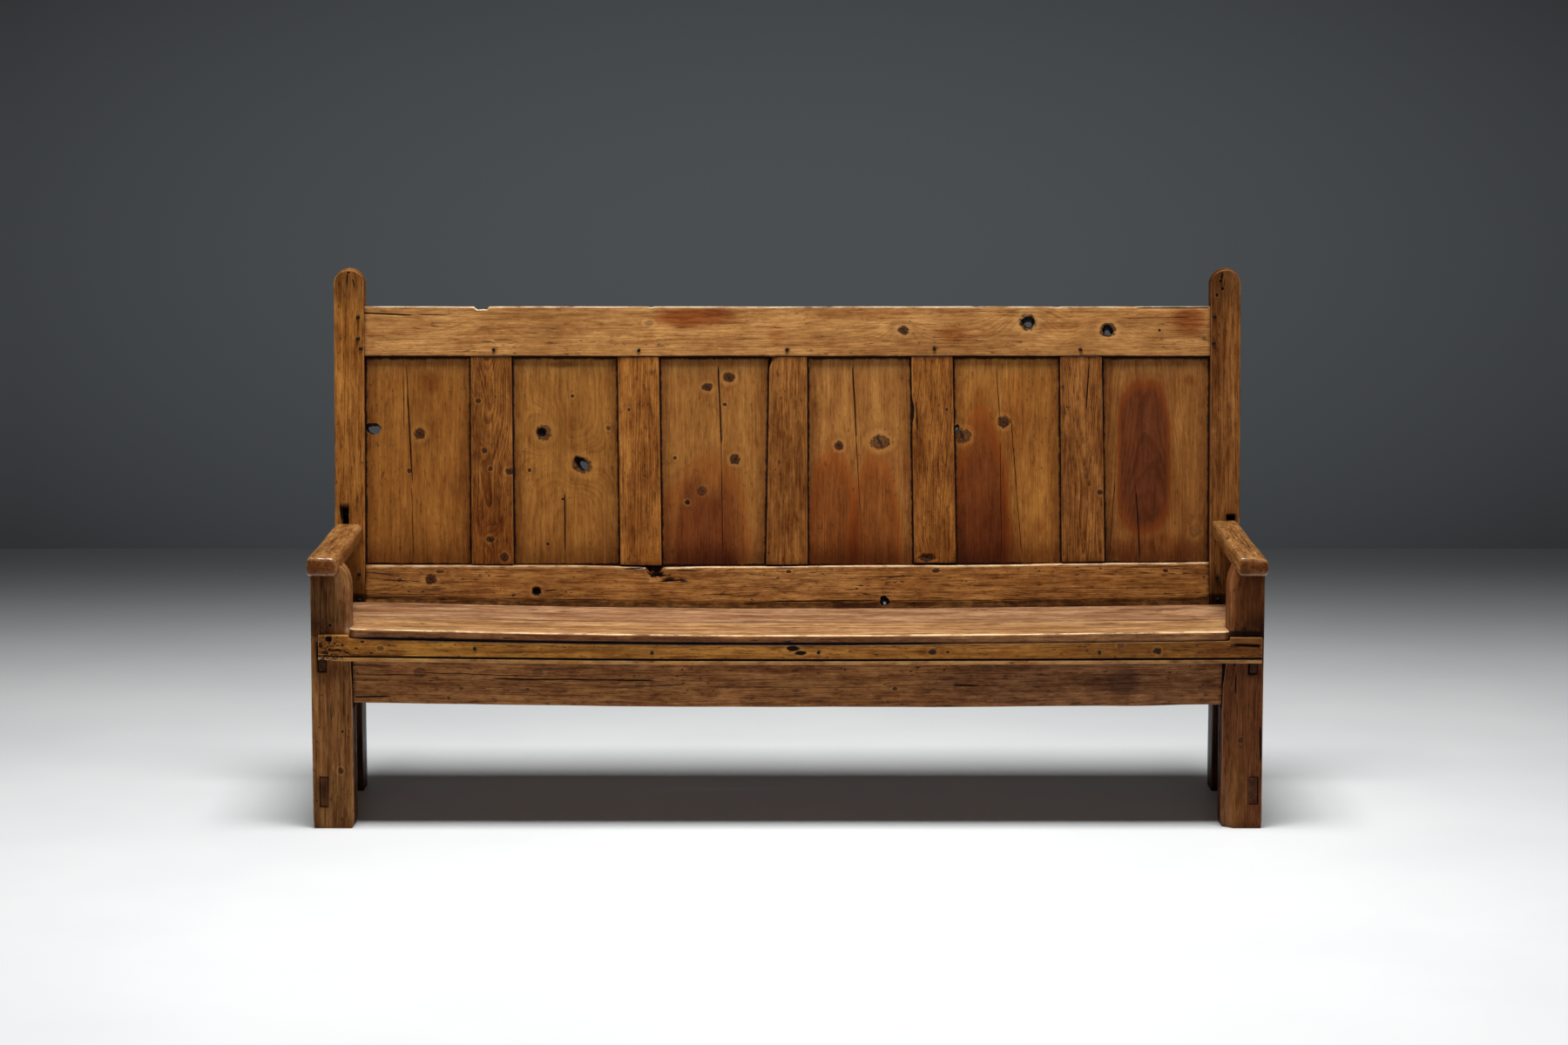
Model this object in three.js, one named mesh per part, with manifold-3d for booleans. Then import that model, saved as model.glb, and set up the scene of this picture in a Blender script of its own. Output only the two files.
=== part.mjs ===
// An old pine hall bench (a settle with a panelled back), in millimetres, +Z up.
// +X runs along the bench to its left-hand sitter's side as seen from the front
// (right in a front view), +Y runs from the front edge to the back.
// Every member is its own solid. Tenons, grooves and housings are cut for real,
// and each fitted joint keeps a clearance of FIT.

import * as THREE from 'three';
import { mergeVertices } from 'three/addons/utils/BufferGeometryUtils.js';
import Module from 'manifold-3d';

const wasm = await Module();
wasm.setup();

// ---------------------------------------------------------------- dimensions
const FIT = 0.3;                 // clearance in every fitted joint

const HALF_W = 1000;             // outer faces of the back posts
const LEG_OUT = 998;             // outer faces of the front legs
const LEG_IN_LOW = 914;          // inner face of a front leg at the floor
const LEG_IN_HIGH = [917, 925];  // and above the seat, left and right
const LEG_DEPTH = 68;
const EAR_TOP = 557;             // rounded shoulder of the leg beside the arm

const POST_IN = 934;             // inner face of a back post at the panels
const POST_IN_LOW = 944;         // and below the seat
const POST_FRONT = 400;          // front face of a back post at the floor
const POST_DEPTH = 75;           // from the floor to the knee
const POST_DEPTH_TOP = 42;       // it thins towards the top
const POST_TOP = 1160;
const KNEE = 440;                // height where the post begins to rake back
const RAKE = 0.0828;             // run per rise above the knee

const ARM_W = 62, ARM_T = 39;
const ARM_FRONT = -40;           // the arm's front end overhangs the leg
const ARM_TOP_FRONT = 580;       // top of the arm at its front end
const ARM_SLOPE = { left: 0.041, right: 0.057 }; // it climbs gently to the post

const SEAT_T = 20;
const SEAT_FRONT = -8, SEAT_JOINT = 168, SEAT_BACK = 388;
const SEAT_LEFT_Z = 427, SEAT_MID_Z = 414, SEAT_RIGHT_Z = 421; // it has sagged

const APRON_FACE = 5, APRON_T = 24;
const STRIP_FACE = -11;

const RAIL_LOW = 529, RAIL_HIGH = 638.5;   // upper back rail, up the rake
const LOWER_RAIL_BOTTOM = -82;
const PANEL_V0 = 14, PANEL_V1 = 23;        // panel faces behind the post face
const TONGUE = 7, GROOVE = 1.5;            // panel in groove, spare behind it

// inner edges of the five muntins: [left low, left high, right low, right high]
const MUNTINS = [
  [-698.2, -699.1, -605.5, -608.9],
  [-369.4, -374.6, -278.4, -283.8],
  [-46.7, -39.2, 45.0, 43.6],
  [281.1, 273.8, 373.8, 364.8],
  [608.0, 602.7, 702.3, 694.8],
];

// ------------------------------------------------------------------- helpers
function solid(geometry, matrix) {
  const g = geometry.clone();
  if (matrix) g.applyMatrix4(matrix);
  g.deleteAttribute('normal');
  g.deleteAttribute('uv');
  const m = mergeVertices(g, 1e-3);
  return new wasm.Manifold(new wasm.Mesh({
    numProp: 3,
    vertProperties: Float32Array.from(m.attributes.position.array),
    triVerts: Uint32Array.from(m.index.array),
  }));
}

function toGeometry(manifold) {
  const m = manifold.getMesh();
  const g = new THREE.BufferGeometry();
  g.setAttribute('position', new THREE.BufferAttribute(Float32Array.from(m.vertProperties), 3));
  g.setIndex(new THREE.BufferAttribute(Uint32Array.from(m.triVerts), 1));
  g.computeVertexNormals();
  return g;
}

function boxGeometry(x0, x1, y0, y1, z0, z1) {
  const g = new THREE.BoxGeometry(x1 - x0, y1 - y0, z1 - z0);
  g.translate((x0 + x1) / 2, (y0 + y1) / 2, (z0 + z1) / 2);
  return g;
}
const box = (x0, x1, y0, y1, z0, z1, matrix) => solid(boxGeometry(x0, x1, y0, y1, z0, z1), matrix);

function extrude(points, depth) {
  const shape = new THREE.Shape(points.map(([a, b]) => new THREE.Vector2(a, b)));
  return new THREE.ExtrudeGeometry(shape, { depth, bevelEnabled: false, curveSegments: 1 });
}

// an outline in X and Z, given thickness along Y
function plateXZ(points, y0, y1, matrix) {
  const g = extrude(points, y1 - y0);
  g.rotateX(Math.PI / 2);
  g.translate(0, y1, 0);
  return solid(g, matrix);
}

// an outline in Y and Z, given width along X
function plateYZ(points, x0, x1, matrix) {
  const g = extrude(points, x1 - x0);
  g.applyMatrix4(new THREE.Matrix4().makeBasis(
    new THREE.Vector3(0, 1, 0), new THREE.Vector3(0, 0, 1), new THREE.Vector3(1, 0, 0)));
  g.translate(x0, 0, 0);
  return solid(g, matrix);
}

// an outline in X and Y, given height along Z
function plateXY(points, z0, z1, matrix) {
  const g = extrude(points, z1 - z0);
  g.translate(0, 0, z0);
  return solid(g, matrix);
}

const mirrorX = (points) => points.map(([a, b]) => [-a, b]).reverse();
const sideways = (side, points) => (side > 0 ? points : mirrorX(points));
const span = (side, a, b) => (side > 0 ? [a, b] : [-b, -a]);
const cutAll = (body, cutters) => cutters.reduce((b, c) => b.subtract(c), body);

// The raked back: local Y is depth behind the post's front face, local Z runs
// up the rake from the knee.
const rakeAngle = Math.atan(RAKE);
const rakeMatrix = new THREE.Matrix4()
  .makeTranslation(0, POST_FRONT, KNEE)
  .multiply(new THREE.Matrix4().makeRotationX(-rakeAngle));

// a long board's curve: left, middle and right heights, flat past SAG_END
const SAG_END = 900;
function sagged(left, mid, right) {
  return (x) => {
    const t = Math.min(1, Math.abs(x) / SAG_END);
    const end = x < 0 ? left : right;
    return mid + (end - mid) * t * t;
  };
}
const seatTop = sagged(SEAT_LEFT_Z, SEAT_MID_Z, SEAT_RIGHT_Z);
const seatUnder = (x) => seatTop(x) - SEAT_T;

function stations(x0, x1, n) {
  return Array.from({ length: n + 1 }, (_, i) => x0 + (x1 - x0) * i / n);
}
// all the sagged members share these stations, so their facets lie parallel
const sagStations = (x0, x1) => [x0, ...stations(-SAG_END, SAG_END, 12), x1];
function band(x0, x1, low, high) {
  const xs = sagStations(x0, x1);
  return [...xs.map((x) => [x, low(x)]), ...xs.slice().reverse().map((x) => [x, high(x)])];
}

// ------------------------------------------------------------------ finishes
const WOOD = {
  leg: [0x6e4a2b, 0.55], post: [0x84592f, 0.5], arm: [0x8a5a2a, 0.42],
  rail: [0x9a6a36, 0.45], panel: [0xa06c34, 0.5], muntin: [0x966230, 0.48],
  seat: [0xa9753f, 0.42], strip: [0x8f6227, 0.5], apron: [0x7b5230, 0.55],
  hidden: [0x6a4a2c, 0.7],
};
const bench = new THREE.Group();
const backFrame = new THREE.Group();
backFrame.position.set(0, POST_FRONT, KNEE);
backFrame.rotation.x = -rakeAngle;
bench.add(backFrame);

function place(parent, name, body, kind) {
  const iron = kind === 'iron';
  const [color, roughness] = iron ? [0x2b2623, 0.6] : WOOD[kind];
  const mesh = new THREE.Mesh(toGeometry(body),
    new THREE.MeshStandardMaterial({ color, roughness, metalness: iron ? 0.85 : 0 }));
  mesh.name = name;
  parent.add(mesh);
}

// -------------------------------------------------------------------- nails
// A forged nail: flat head sunk flush, tapering shank. Its axis is +Y.
const NAIL_HEAD = 4.2, NAIL_SHANK = 1.7, NAIL_LONG = 30;
function nailGeometry(grow) {
  const g = grow;
  const profile = [
    [0, -g - (g ? 2 : 0)], [NAIL_HEAD + g, -g - (g ? 2 : 0)], [NAIL_HEAD + g, 1.4 + g],
    [NAIL_SHANK + g, 1.8 + g], [NAIL_SHANK * 0.7 + g, NAIL_LONG - 4], [0, NAIL_LONG + g],
  ];
  return new THREE.LatheGeometry(profile.map(([r, y]) => new THREE.Vector2(r, y)), 8);
}
const nails = [];
function nail(name, parent, x, y, z) {
  const at = new THREE.Matrix4().makeTranslation(x, y + 0.25, z);
  nails.push({ name, parent, raked: parent === backFrame, at });
}
const nailCut = (entry, inWorld) => solid(nailGeometry(FIT),
  entry.raked && inWorld ? rakeMatrix.clone().multiply(entry.at) : entry.at);

nail('left_post_nail_1', backFrame, -946.8, 0, 614.4);
nail('left_post_nail_2', backFrame, -946.8, 0, 567);
nail('left_post_nail_3', backFrame, -941.0, 0, 545);
nail('left_post_nail_4', backFrame, -947.0, 0, 47);
nail('left_post_nail_5', backFrame, -946.0, 0, -11);
nail('right_post_nail_1', backFrame, 942.1, 0, 616.5);
nail('right_post_nail_2', backFrame, 940.5, 0, 557.5);
nail('right_post_nail_3', backFrame, 950.5, 0, 39.5);
nail('right_post_nail_4', backFrame, 952.7, 0, -9);
[-648.2, -327.7, -0.4, 324.6, 647.0].forEach((x, i) => {
  nail(`muntin_nail_${i + 1}`, backFrame, x, 3, [543, 542, 543, 546, 543.5][i]);
});
[[-653.9, 384.8], [-283.3, 376.3], [65.6, 377.4], [652.2, 377.4]].forEach(([x, z], i) => {
  nail(`strip_nail_${i + 1}`, bench, x, STRIP_FACE, z);
});
nail('right_leg_nail', bench, 954.9, 0, 424);
const cutsFor = (prefix, inWorld) => nails.filter((n) => n.name.startsWith(prefix)).map((n) => nailCut(n, inWorld));

// ------------------------------------------------- panels, muntins and rails
const lowerRailTop = (x) => (x < 0 ? 64.7 + (68.2 - 64.7) * (-x / 930) : 64.7 + (73.2 - 64.7) * (x / 930));
const muntinEdge = (i, side, w) => {
  const [l0, l1, r0, r1] = MUNTINS[i];
  const t = (w - 67) / (RAIL_LOW - 67);
  return side < 0 ? l0 + (l1 - l0) * t : r0 + (r1 - r0) * t;
};
function panelOutline(i, spare) {
  const reach = TONGUE + spare;
  const left = (w) => (i === 0 ? -POST_IN : muntinEdge(i - 1, 1, w)) - reach;
  const right = (w) => (i === 5 ? POST_IN : muntinEdge(i, -1, w)) + reach;
  const lowL = lowerRailTop(left(67)) - reach, lowR = lowerRailTop(right(67)) - reach;
  const high = RAIL_LOW + reach;
  return [[left(lowL), lowL], [right(lowR), lowR], [right(high), high], [left(high), high]];
}
const panelGrooves = (matrix) => [0, 1, 2, 3, 4, 5].map((i) =>
  plateXZ(panelOutline(i, GROOVE), PANEL_V0 - FIT, PANEL_V1 + FIT, matrix));
const grooveCuts = panelGrooves();
for (let i = 0; i < 6; i++) {
  place(backFrame, `back_panel_${i + 1}`, plateXZ(panelOutline(i, 0), PANEL_V0, PANEL_V1), 'panel');
}

// muntins: stub tenons top and bottom
const muntinTenon = (i, top, grow) => {
  const x = (muntinEdge(i, -1, top ? 529 : 67) + muntinEdge(i, 1, top ? 529 : 67)) / 2;
  const w0 = top ? RAIL_LOW - 5 : lowerRailTop(x) - 26, w1 = top ? RAIL_LOW + 28 : lowerRailTop(x) + 5;
  return box(x - 27 - grow, x + 27 + grow, 11 - grow, 25 + grow, w0 - grow, w1 + grow);
};
for (let i = 0; i < 5; i++) {
  const foot = (x) => lowerRailTop(x) + FIT;
  const lo = 67, hi = RAIL_LOW - FIT;
  const l = muntinEdge(i, -1, lo), r = muntinEdge(i, 1, lo);
  let body = plateXZ([[l, foot(l)], [r, foot(r)], [muntinEdge(i, 1, hi), hi], [muntinEdge(i, -1, hi), hi]], 5, 31);
  body = body.add(muntinTenon(i, true, 0)).add(muntinTenon(i, false, 0));
  body = cutAll(body, [grooveCuts[i], grooveCuts[i + 1], ...cutsFor(`muntin_nail_${i + 1}`)]);
  place(backFrame, `muntin_${i + 1}`, body, 'muntin');
}

// rails: tenoned into the posts
const railTenon = (side, upper, grow, matrix) => {
  const [x0, x1] = span(side, POST_IN - 6 - grow, (upper ? 976 : 962) + grow);
  return upper
    ? box(x0, x1, 10 - grow, 26 + grow, RAIL_LOW + 7 - grow, RAIL_HIGH - 10 + grow, matrix)
    : box(x0, x1, 10 - grow, 26 + grow, LOWER_RAIL_BOTTOM + 10 - grow, 58 + grow, matrix);
};
const end = POST_IN - FIT;
let topRail = box(-end, end, 3, 33, RAIL_LOW, RAIL_HIGH)
  .add(railTenon(-1, true, 0)).add(railTenon(1, true, 0));
topRail = cutAll(topRail, [...grooveCuts,
  ...[0, 1, 2, 3, 4].map((i) => muntinTenon(i, true, FIT)),
  ...cutsFor('muntin_nail'), ...cutsFor('left_post_nail'), ...cutsFor('right_post_nail')]);
place(backFrame, 'top_rail', topRail, 'rail');

let lowerRail = plateXZ([[-end, LOWER_RAIL_BOTTOM], [end, LOWER_RAIL_BOTTOM],
  [end, lowerRailTop(end)], [0, lowerRailTop(0)], [-end, lowerRailTop(-end)]], 4, 32)
  .add(railTenon(-1, false, 0)).add(railTenon(1, false, 0));
lowerRail = cutAll(lowerRail, [...grooveCuts,
  ...[0, 1, 2, 3, 4].map((i) => muntinTenon(i, false, FIT)),
  ...cutsFor('left_post_nail'), ...cutsFor('right_post_nail')]);
place(backFrame, 'lower_back_rail', lowerRail, 'rail');

// ------------------------------------------------------------- side members
// x spans are for the right side; the left side mirrors them
const STRETCHER = {
  left: { body: [962, 988], tenon: [966, 984], z: [42, 116], tz: [47, 110] },
  right: { body: [965, 991], tenon: [969, 990], z: [46, 116], tz: [52, 110] },
};
const SEAT_RAIL = {
  left: { tenon: [966, 984], tz: [334, 396] },
  right: { tenon: [968, 986], tz: [330, 391] },
};

for (const [tag, side] of [['left', -1], ['right', 1]]) {
  // ---- lower stretcher, through-tenoned into the leg and the post
  const st = STRETCHER[tag];
  const slope = ARM_SLOPE[tag];
  const armUnder = (y) => ARM_TOP_FRONT + (y - ARM_FRONT) * slope - ARM_T;
  const stretcherTenon = (grow) => {
    const [x0, x1] = span(side, st.tenon[0] - grow, st.tenon[1] + grow);
    return box(x0, x1, 0.6 - grow * 4, POST_FRONT + POST_DEPTH - 0.6 + grow * 4, st.tz[0] - grow, st.tz[1] + grow);
  };
  const [sb0, sb1] = span(side, ...st.body);
  place(bench, `${tag}_lower_stretcher`,
    box(sb0, sb1, LEG_DEPTH + FIT, POST_FRONT - FIT, ...st.z).add(stretcherTenon(0)), 'apron');

  // ---- upper side rail under the seat ends
  const sr = SEAT_RAIL[tag];
  const seatRailTenon = (grow) => {
    const [x0, x1] = span(side, sr.tenon[0] - grow, sr.tenon[1] + grow);
    return box(x0, x1, APRON_FACE + 0.4 - grow * 20, POST_FRONT + 48 + grow, sr.tz[0] - grow, sr.tz[1] + grow);
  };
  const [rb0, rb1] = span(side, 960, 988);
  const railTop = seatUnder(side * 970) - 0.4;
  let seatRail = box(rb0, rb1, LEG_DEPTH + FIT, POST_FRONT - FIT, sr.tz[0] - 6, railTop).add(seatRailTenon(0));
  const [ls0, ls1] = span(side, 958, 970);
  seatRail = seatRail.subtract(box(ls0, ls1, 362 - FIT, 396 + FIT, 350, 500));
  place(bench, `${tag}_side_seat_rail`, seatRail, 'hidden');

  // ---- front leg: rounded shoulder beside the arm, tenon up into the arm
  const legHigh = LEG_IN_HIGH[side < 0 ? 0 : 1];
  const shoulder = side < 0 ? [[933.5, 554], [927, 546.5], [921.5, 536], [918, 521]]
    : [[935.4, 552.5], [932, 544], [928.4, 533], [925.8, 520]];
  const outline = sideways(side, [
    [LEG_IN_LOW, 0], [LEG_OUT, 0], [LEG_OUT, EAR_TOP], [937.2, EAR_TOP], ...shoulder,
    [legHigh, 506], [legHigh, 390], [LEG_IN_LOW - 1, 300],
  ]);
  let leg = plateXZ(outline, 0, LEG_DEPTH);
  const [ac0, ac1] = span(side, 937.4, 1010);
  const armSeat = plateYZ([[-80, armUnder(-80) - FIT], [200, armUnder(200) - FIT], [200, 700], [-80, 700]], ac0, ac1);
  leg = leg.subtract(armSeat);
  const legTenon = (grow) => {
    const [x0, x1] = span(side, 955 - grow, 985 + grow);
    return box(x0, x1, 16 - grow, 50 + grow, 520 - grow, 566 + grow);
  };
  leg = leg.add(legTenon(0));
  const apronTenon = (grow) => {
    const [x0, x1] = span(side, 906 - grow, 950 + grow);
    return box(x0, x1, 10 - grow, 24 + grow, 276 - grow, 384 + grow);
  };
  leg = cutAll(leg, [stretcherTenon(FIT), seatRailTenon(FIT), apronTenon(FIT)]);
  // housing for the beaded strip
  const stripEnd = side < 0 ? 982 : 993;
  const hz = side < 0 ? [357.5, 413.5] : [352.5, 408.5];
  const [h0, h1] = span(side, 880, stripEnd + FIT);
  leg = leg.subtract(box(h0, h1, -20, APRON_FACE - FIT / 2, ...hz));
  if (side > 0) leg = cutAll(leg, cutsFor('right_leg_nail'));
  place(bench, `${tag}_front_leg`, leg, 'leg');

  // ---- back post: kinked side profile, half-round top
  const lean = (z) => (z - KNEE) * RAKE;
  const sideProfile = [[POST_FRONT, 0], [POST_FRONT + POST_DEPTH, 0], [POST_FRONT + POST_DEPTH, KNEE],
    [POST_FRONT + lean(1200) + POST_DEPTH_TOP, 1200], [POST_FRONT + lean(1200), 1200], [POST_FRONT, KNEE]];
  const r = (HALF_W - POST_IN) / 2, cx = POST_IN + r, cz = POST_TOP - r;
  const arc = Array.from({ length: 13 }, (_, i) => {
    const a = Math.PI * i / 12;
    return [cx + r * Math.cos(a), cz + r * Math.sin(a)];
  });
  const front = sideways(side, [[POST_IN_LOW, 0], [HALF_W, 0], ...arc, [POST_IN, KNEE - 20], [POST_IN_LOW, 330]]);
  const [p0, p1] = span(side, 900, 1100);
  let post = plateYZ(sideProfile, p0, p1).intersect(plateXZ(front, 300, 700));
  // through mortise for the arm's rear tenon, taller than the tenon
  const holeW = side < 0 ? [967, 985] : [970, 988];
  const holeZ = side < 0 ? [566, 634] : [572, 618];
  const [m0, m1] = span(side, ...holeW);
  const mortise = box(m0, m1, -20, 100, (holeZ[0] - KNEE) / Math.cos(rakeAngle),
    (holeZ[1] - KNEE) / Math.cos(rakeAngle), rakeMatrix);
  post = cutAll(post, [mortise, railTenon(side, true, FIT, rakeMatrix), railTenon(side, false, FIT, rakeMatrix),
    ...panelGrooves(rakeMatrix), stretcherTenon(FIT), seatRailTenon(FIT), ...cutsFor(`${tag}_post_nail`, true)]);
  place(bench, `${tag}_back_post`, post, 'post');

  // ---- arm: rounded bar, climbing to the post, rear tenon loose in its mortise
  const rad = 11;
  const section = new THREE.Shape();
  const hw = ARM_W / 2 - 5, ht = ARM_T / 2 - 5, c = rad - 5;
  section.moveTo(-hw + c, -ht);
  section.lineTo(hw - c, -ht);
  section.quadraticCurveTo(hw, -ht, hw, -ht + c);
  section.lineTo(hw, ht - c);
  section.quadraticCurveTo(hw, ht, hw - c, ht);
  section.lineTo(-hw + c, ht);
  section.quadraticCurveTo(-hw, ht, -hw, ht - c);
  section.lineTo(-hw, -ht + c);
  section.quadraticCurveTo(-hw, -ht, -hw + c, -ht);
  const ramp = Math.atan(slope);
  const armLong = 560;
  const bar = new THREE.ExtrudeGeometry(section, {
    depth: armLong - 14, curveSegments: 3, bevelEnabled: true,
    bevelThickness: 7, bevelSize: 5, bevelOffset: 0, bevelSegments: 2,
  });
  bar.rotateX(Math.PI / 2);               // length now runs towards -Y
  bar.rotateZ(Math.PI);                   // and now towards +Y
  bar.translate(0, 7, -ARM_T / 2);
  bar.rotateX(ramp);
  bar.translate(side * (HALF_W - ARM_W / 2), ARM_FRONT, ARM_TOP_FRONT);
  let arm = solid(bar);
  arm = arm.intersect(box(-1100, 1100, -700, -FIT, -200, 500, rakeMatrix));
  const [t0, t1] = span(side, holeW[0] + FIT, holeW[1] - FIT);
  arm = arm.add(box(t0, t1, -14, 66, (holeZ[0] + 0.6 - KNEE) / Math.cos(rakeAngle),
    (holeZ[0] + 28 - KNEE) / Math.cos(rakeAngle), rakeMatrix));
  arm = arm.subtract(legTenon(FIT));
  place(bench, `${tag}_arm`, arm, 'arm');
}

// --------------------------------------------------------------------- seat
const [innerL, innerR] = LEG_IN_HIGH.map((x) => x - 0.8);
const seatSide = 990;
const frontPlan = [
  [-innerL + 14, SEAT_FRONT], [innerR - 14, SEAT_FRONT], [innerR, 6], [innerR, LEG_DEPTH + FIT],
  [seatSide, LEG_DEPTH + FIT], [seatSide, SEAT_JOINT], [-seatSide, SEAT_JOINT],
  [-seatSide, LEG_DEPTH + FIT], [-innerL, LEG_DEPTH + FIT], [-innerL, 6],
];
const seatBand = (y0, y1) => plateXZ(band(-seatSide - 5, seatSide + 5, seatUnder, seatTop), y0, y1);
place(bench, 'seat_front_board',
  seatBand(SEAT_FRONT - 5, SEAT_JOINT + 5).intersect(plateXY(frontPlan, 300, 500)), 'seat');
const backPlan = [[-seatSide, SEAT_JOINT + 0.6], [seatSide, SEAT_JOINT + 0.6], [seatSide, SEAT_BACK], [-seatSide, SEAT_BACK]];
place(bench, 'seat_back_board',
  seatBand(SEAT_JOINT - 5, SEAT_BACK + 5).intersect(plateXY(backPlan, 300, 500)), 'seat');

// ------------------------------------------------- apron, strip, ledger, bearer
const apronLow = sagged(267, 258, 263);
let apron = plateXZ(band(-912, 912, apronLow, (x) => seatUnder(x) - 0.5), APRON_FACE, APRON_FACE + APRON_T);
for (const side of [-1, 1]) {
  const [x0, x1] = span(side, 900, 950);
  apron = apron.add(box(x0, x1, 10, 24, 276, 384));
}
const bearerTenons = (grow) => [
  box(-12 - grow, 12 + grow, 17 - grow, 40, 352 - grow, 382 + grow),
  box(-12 - grow, 12 + grow, 350, 374 + grow, 358 - grow, 382 + grow),
];
apron = cutAll(apron, [bearerTenons(FIT)[0], ...cutsFor('strip_nail')]);
place(bench, 'front_apron', apron, 'apron');

const stripLow = sagged(358, 350, 353);
const stripHigh = (x) => (x < -innerL - 2 ? 413 : x > innerR + 2 ? 408 : seatUnder(x) - 1.2);
const stripXs = [-982, -innerL - 2.1, -innerL - 1.9, ...stations(-SAG_END, SAG_END, 12), innerR + 1.9, innerR + 2.1, 993];
const stripOutline = [...stripXs.map((x) => [x, stripLow(x)]), ...stripXs.slice().reverse().map((x) => [x, stripHigh(x)])];
let strip = plateXZ(stripOutline, STRIP_FACE, APRON_FACE - 0.5);
const beadXs = sagStations(-1000, 1000);
const beadGroove = plateXZ([...beadXs.map((x) => [x, stripLow(x) + 9]),
  ...beadXs.slice().reverse().map((x) => [x, stripLow(x) + 12])], STRIP_FACE - 5, STRIP_FACE + 2.5);
strip = cutAll(strip, [beadGroove, ...cutsFor('strip_nail')]);
place(bench, 'seat_edge_strip', strip, 'strip');

const ledgerEnd = 969.5;
let ledger = plateXZ(band(-959, 959, (x) => seatUnder(x) - 40, (x) => seatUnder(x) - 0.5), 362, 396);
for (const side of [-1, 1]) {
  const [x0, x1] = span(side, 940, ledgerEnd);
  ledger = ledger.add(box(x0, x1, 362, 396, seatUnder(side * 965) - 40, seatUnder(side * 965) - 0.5));
}
ledger = ledger.subtract(bearerTenons(FIT)[1]);
place(bench, 'seat_back_ledger', ledger, 'hidden');

let bearer = box(-25, 25, APRON_FACE + APRON_T + FIT, 362 - FIT, 342, seatUnder(0) - 0.5);
bearer = bearer.add(box(-12, 12, 17, 40, 352, 382)).add(box(-12, 12, 350, 374, 358, 382));
place(bench, 'seat_bearer', bearer, 'hidden');

// nails last
for (const n of nails) {
  const mesh = new THREE.Mesh(toGeometry(solid(nailGeometry(0))),
    new THREE.MeshStandardMaterial({ color: 0x2b2623, roughness: 0.6, metalness: 0.85 }));
  mesh.name = n.name;
  mesh.position.setFromMatrixPosition(n.at);
  n.parent.add(mesh);
}

// ------------------------------------------------------------------- frame
// Origin on the floor, under the middle of the whole bench.
const bounds = new THREE.Box3().setFromObject(bench);
bench.position.set(-(bounds.min.x + bounds.max.x) / 2, -(bounds.min.y + bounds.max.y) / 2, 0);

export default bench;
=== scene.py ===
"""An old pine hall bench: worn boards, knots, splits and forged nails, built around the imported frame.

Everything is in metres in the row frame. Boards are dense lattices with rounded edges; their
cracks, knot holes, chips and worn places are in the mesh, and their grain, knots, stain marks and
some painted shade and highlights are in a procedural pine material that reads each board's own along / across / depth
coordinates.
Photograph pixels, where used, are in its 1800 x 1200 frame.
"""

import math

import bpy
import numpy as np
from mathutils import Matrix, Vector


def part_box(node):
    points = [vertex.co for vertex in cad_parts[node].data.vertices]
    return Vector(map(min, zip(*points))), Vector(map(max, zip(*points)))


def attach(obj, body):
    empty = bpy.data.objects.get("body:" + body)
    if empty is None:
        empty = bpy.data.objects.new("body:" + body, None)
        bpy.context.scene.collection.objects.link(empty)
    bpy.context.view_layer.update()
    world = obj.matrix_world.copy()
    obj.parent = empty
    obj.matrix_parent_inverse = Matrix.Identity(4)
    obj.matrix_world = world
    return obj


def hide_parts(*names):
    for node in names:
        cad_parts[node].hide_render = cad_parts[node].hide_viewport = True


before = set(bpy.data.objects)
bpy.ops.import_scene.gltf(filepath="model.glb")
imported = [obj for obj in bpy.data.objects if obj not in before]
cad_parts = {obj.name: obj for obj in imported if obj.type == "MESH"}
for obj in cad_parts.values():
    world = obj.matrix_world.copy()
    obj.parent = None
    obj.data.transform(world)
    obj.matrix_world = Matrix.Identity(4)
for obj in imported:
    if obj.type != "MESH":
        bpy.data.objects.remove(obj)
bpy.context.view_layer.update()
SCENE = bpy.context.scene

MM = 0.001
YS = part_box("left_front_leg")[0].y           # plane of the front legs' faces
KNEE = 0.440
RAKE = math.atan(0.0828)
SR, CR = math.sin(RAKE), math.cos(RAKE)
YK = YS + 0.400

# ------------------------------------------------------------------ camera
CAM_F, CAM_TILT, CAM_H, CAM_D, CAM_X = 3825.0, math.radians(6.7), 1.46, 6.9, -0.0073


def on_plane(px, py, y):
    """the point (x, z) seen at a photo pixel on the plane that lies y behind the leg faces"""
    a = math.atan((py - 600) / CAM_F) + CAM_TILT
    z = CAM_H - (CAM_D + y) * math.tan(a)
    depth = (CAM_D + y) * math.cos(CAM_TILT) - (z - CAM_H) * math.sin(CAM_TILT)
    return (px - 900) * depth / CAM_F + CAM_X, z


def on_back(px, py, depth=0.004):
    """(x, w) on the raked back, w metres up the rake from the knee"""
    y = 0.40
    for _ in range(12):
        x, z = on_plane(px, py, y)
        y = 0.400 + (z - KNEE) * math.tan(RAKE) + depth
    return x, (z - KNEE) / CR


def on_seat(px, py):
    """(x, y) on the seat's top, y behind the leg faces"""
    a = math.atan((py - 600) / CAM_F) + CAM_TILT
    x = 0.0
    for _ in range(6):
        z = seat_top(np.array([x]))[0]
        d = (CAM_H - z) / math.tan(a)
        depth = d * math.cos(CAM_TILT) - (z - CAM_H) * math.sin(CAM_TILT)
        x = (px - 900) * depth / CAM_F + CAM_X
    return x, d - CAM_D


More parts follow.
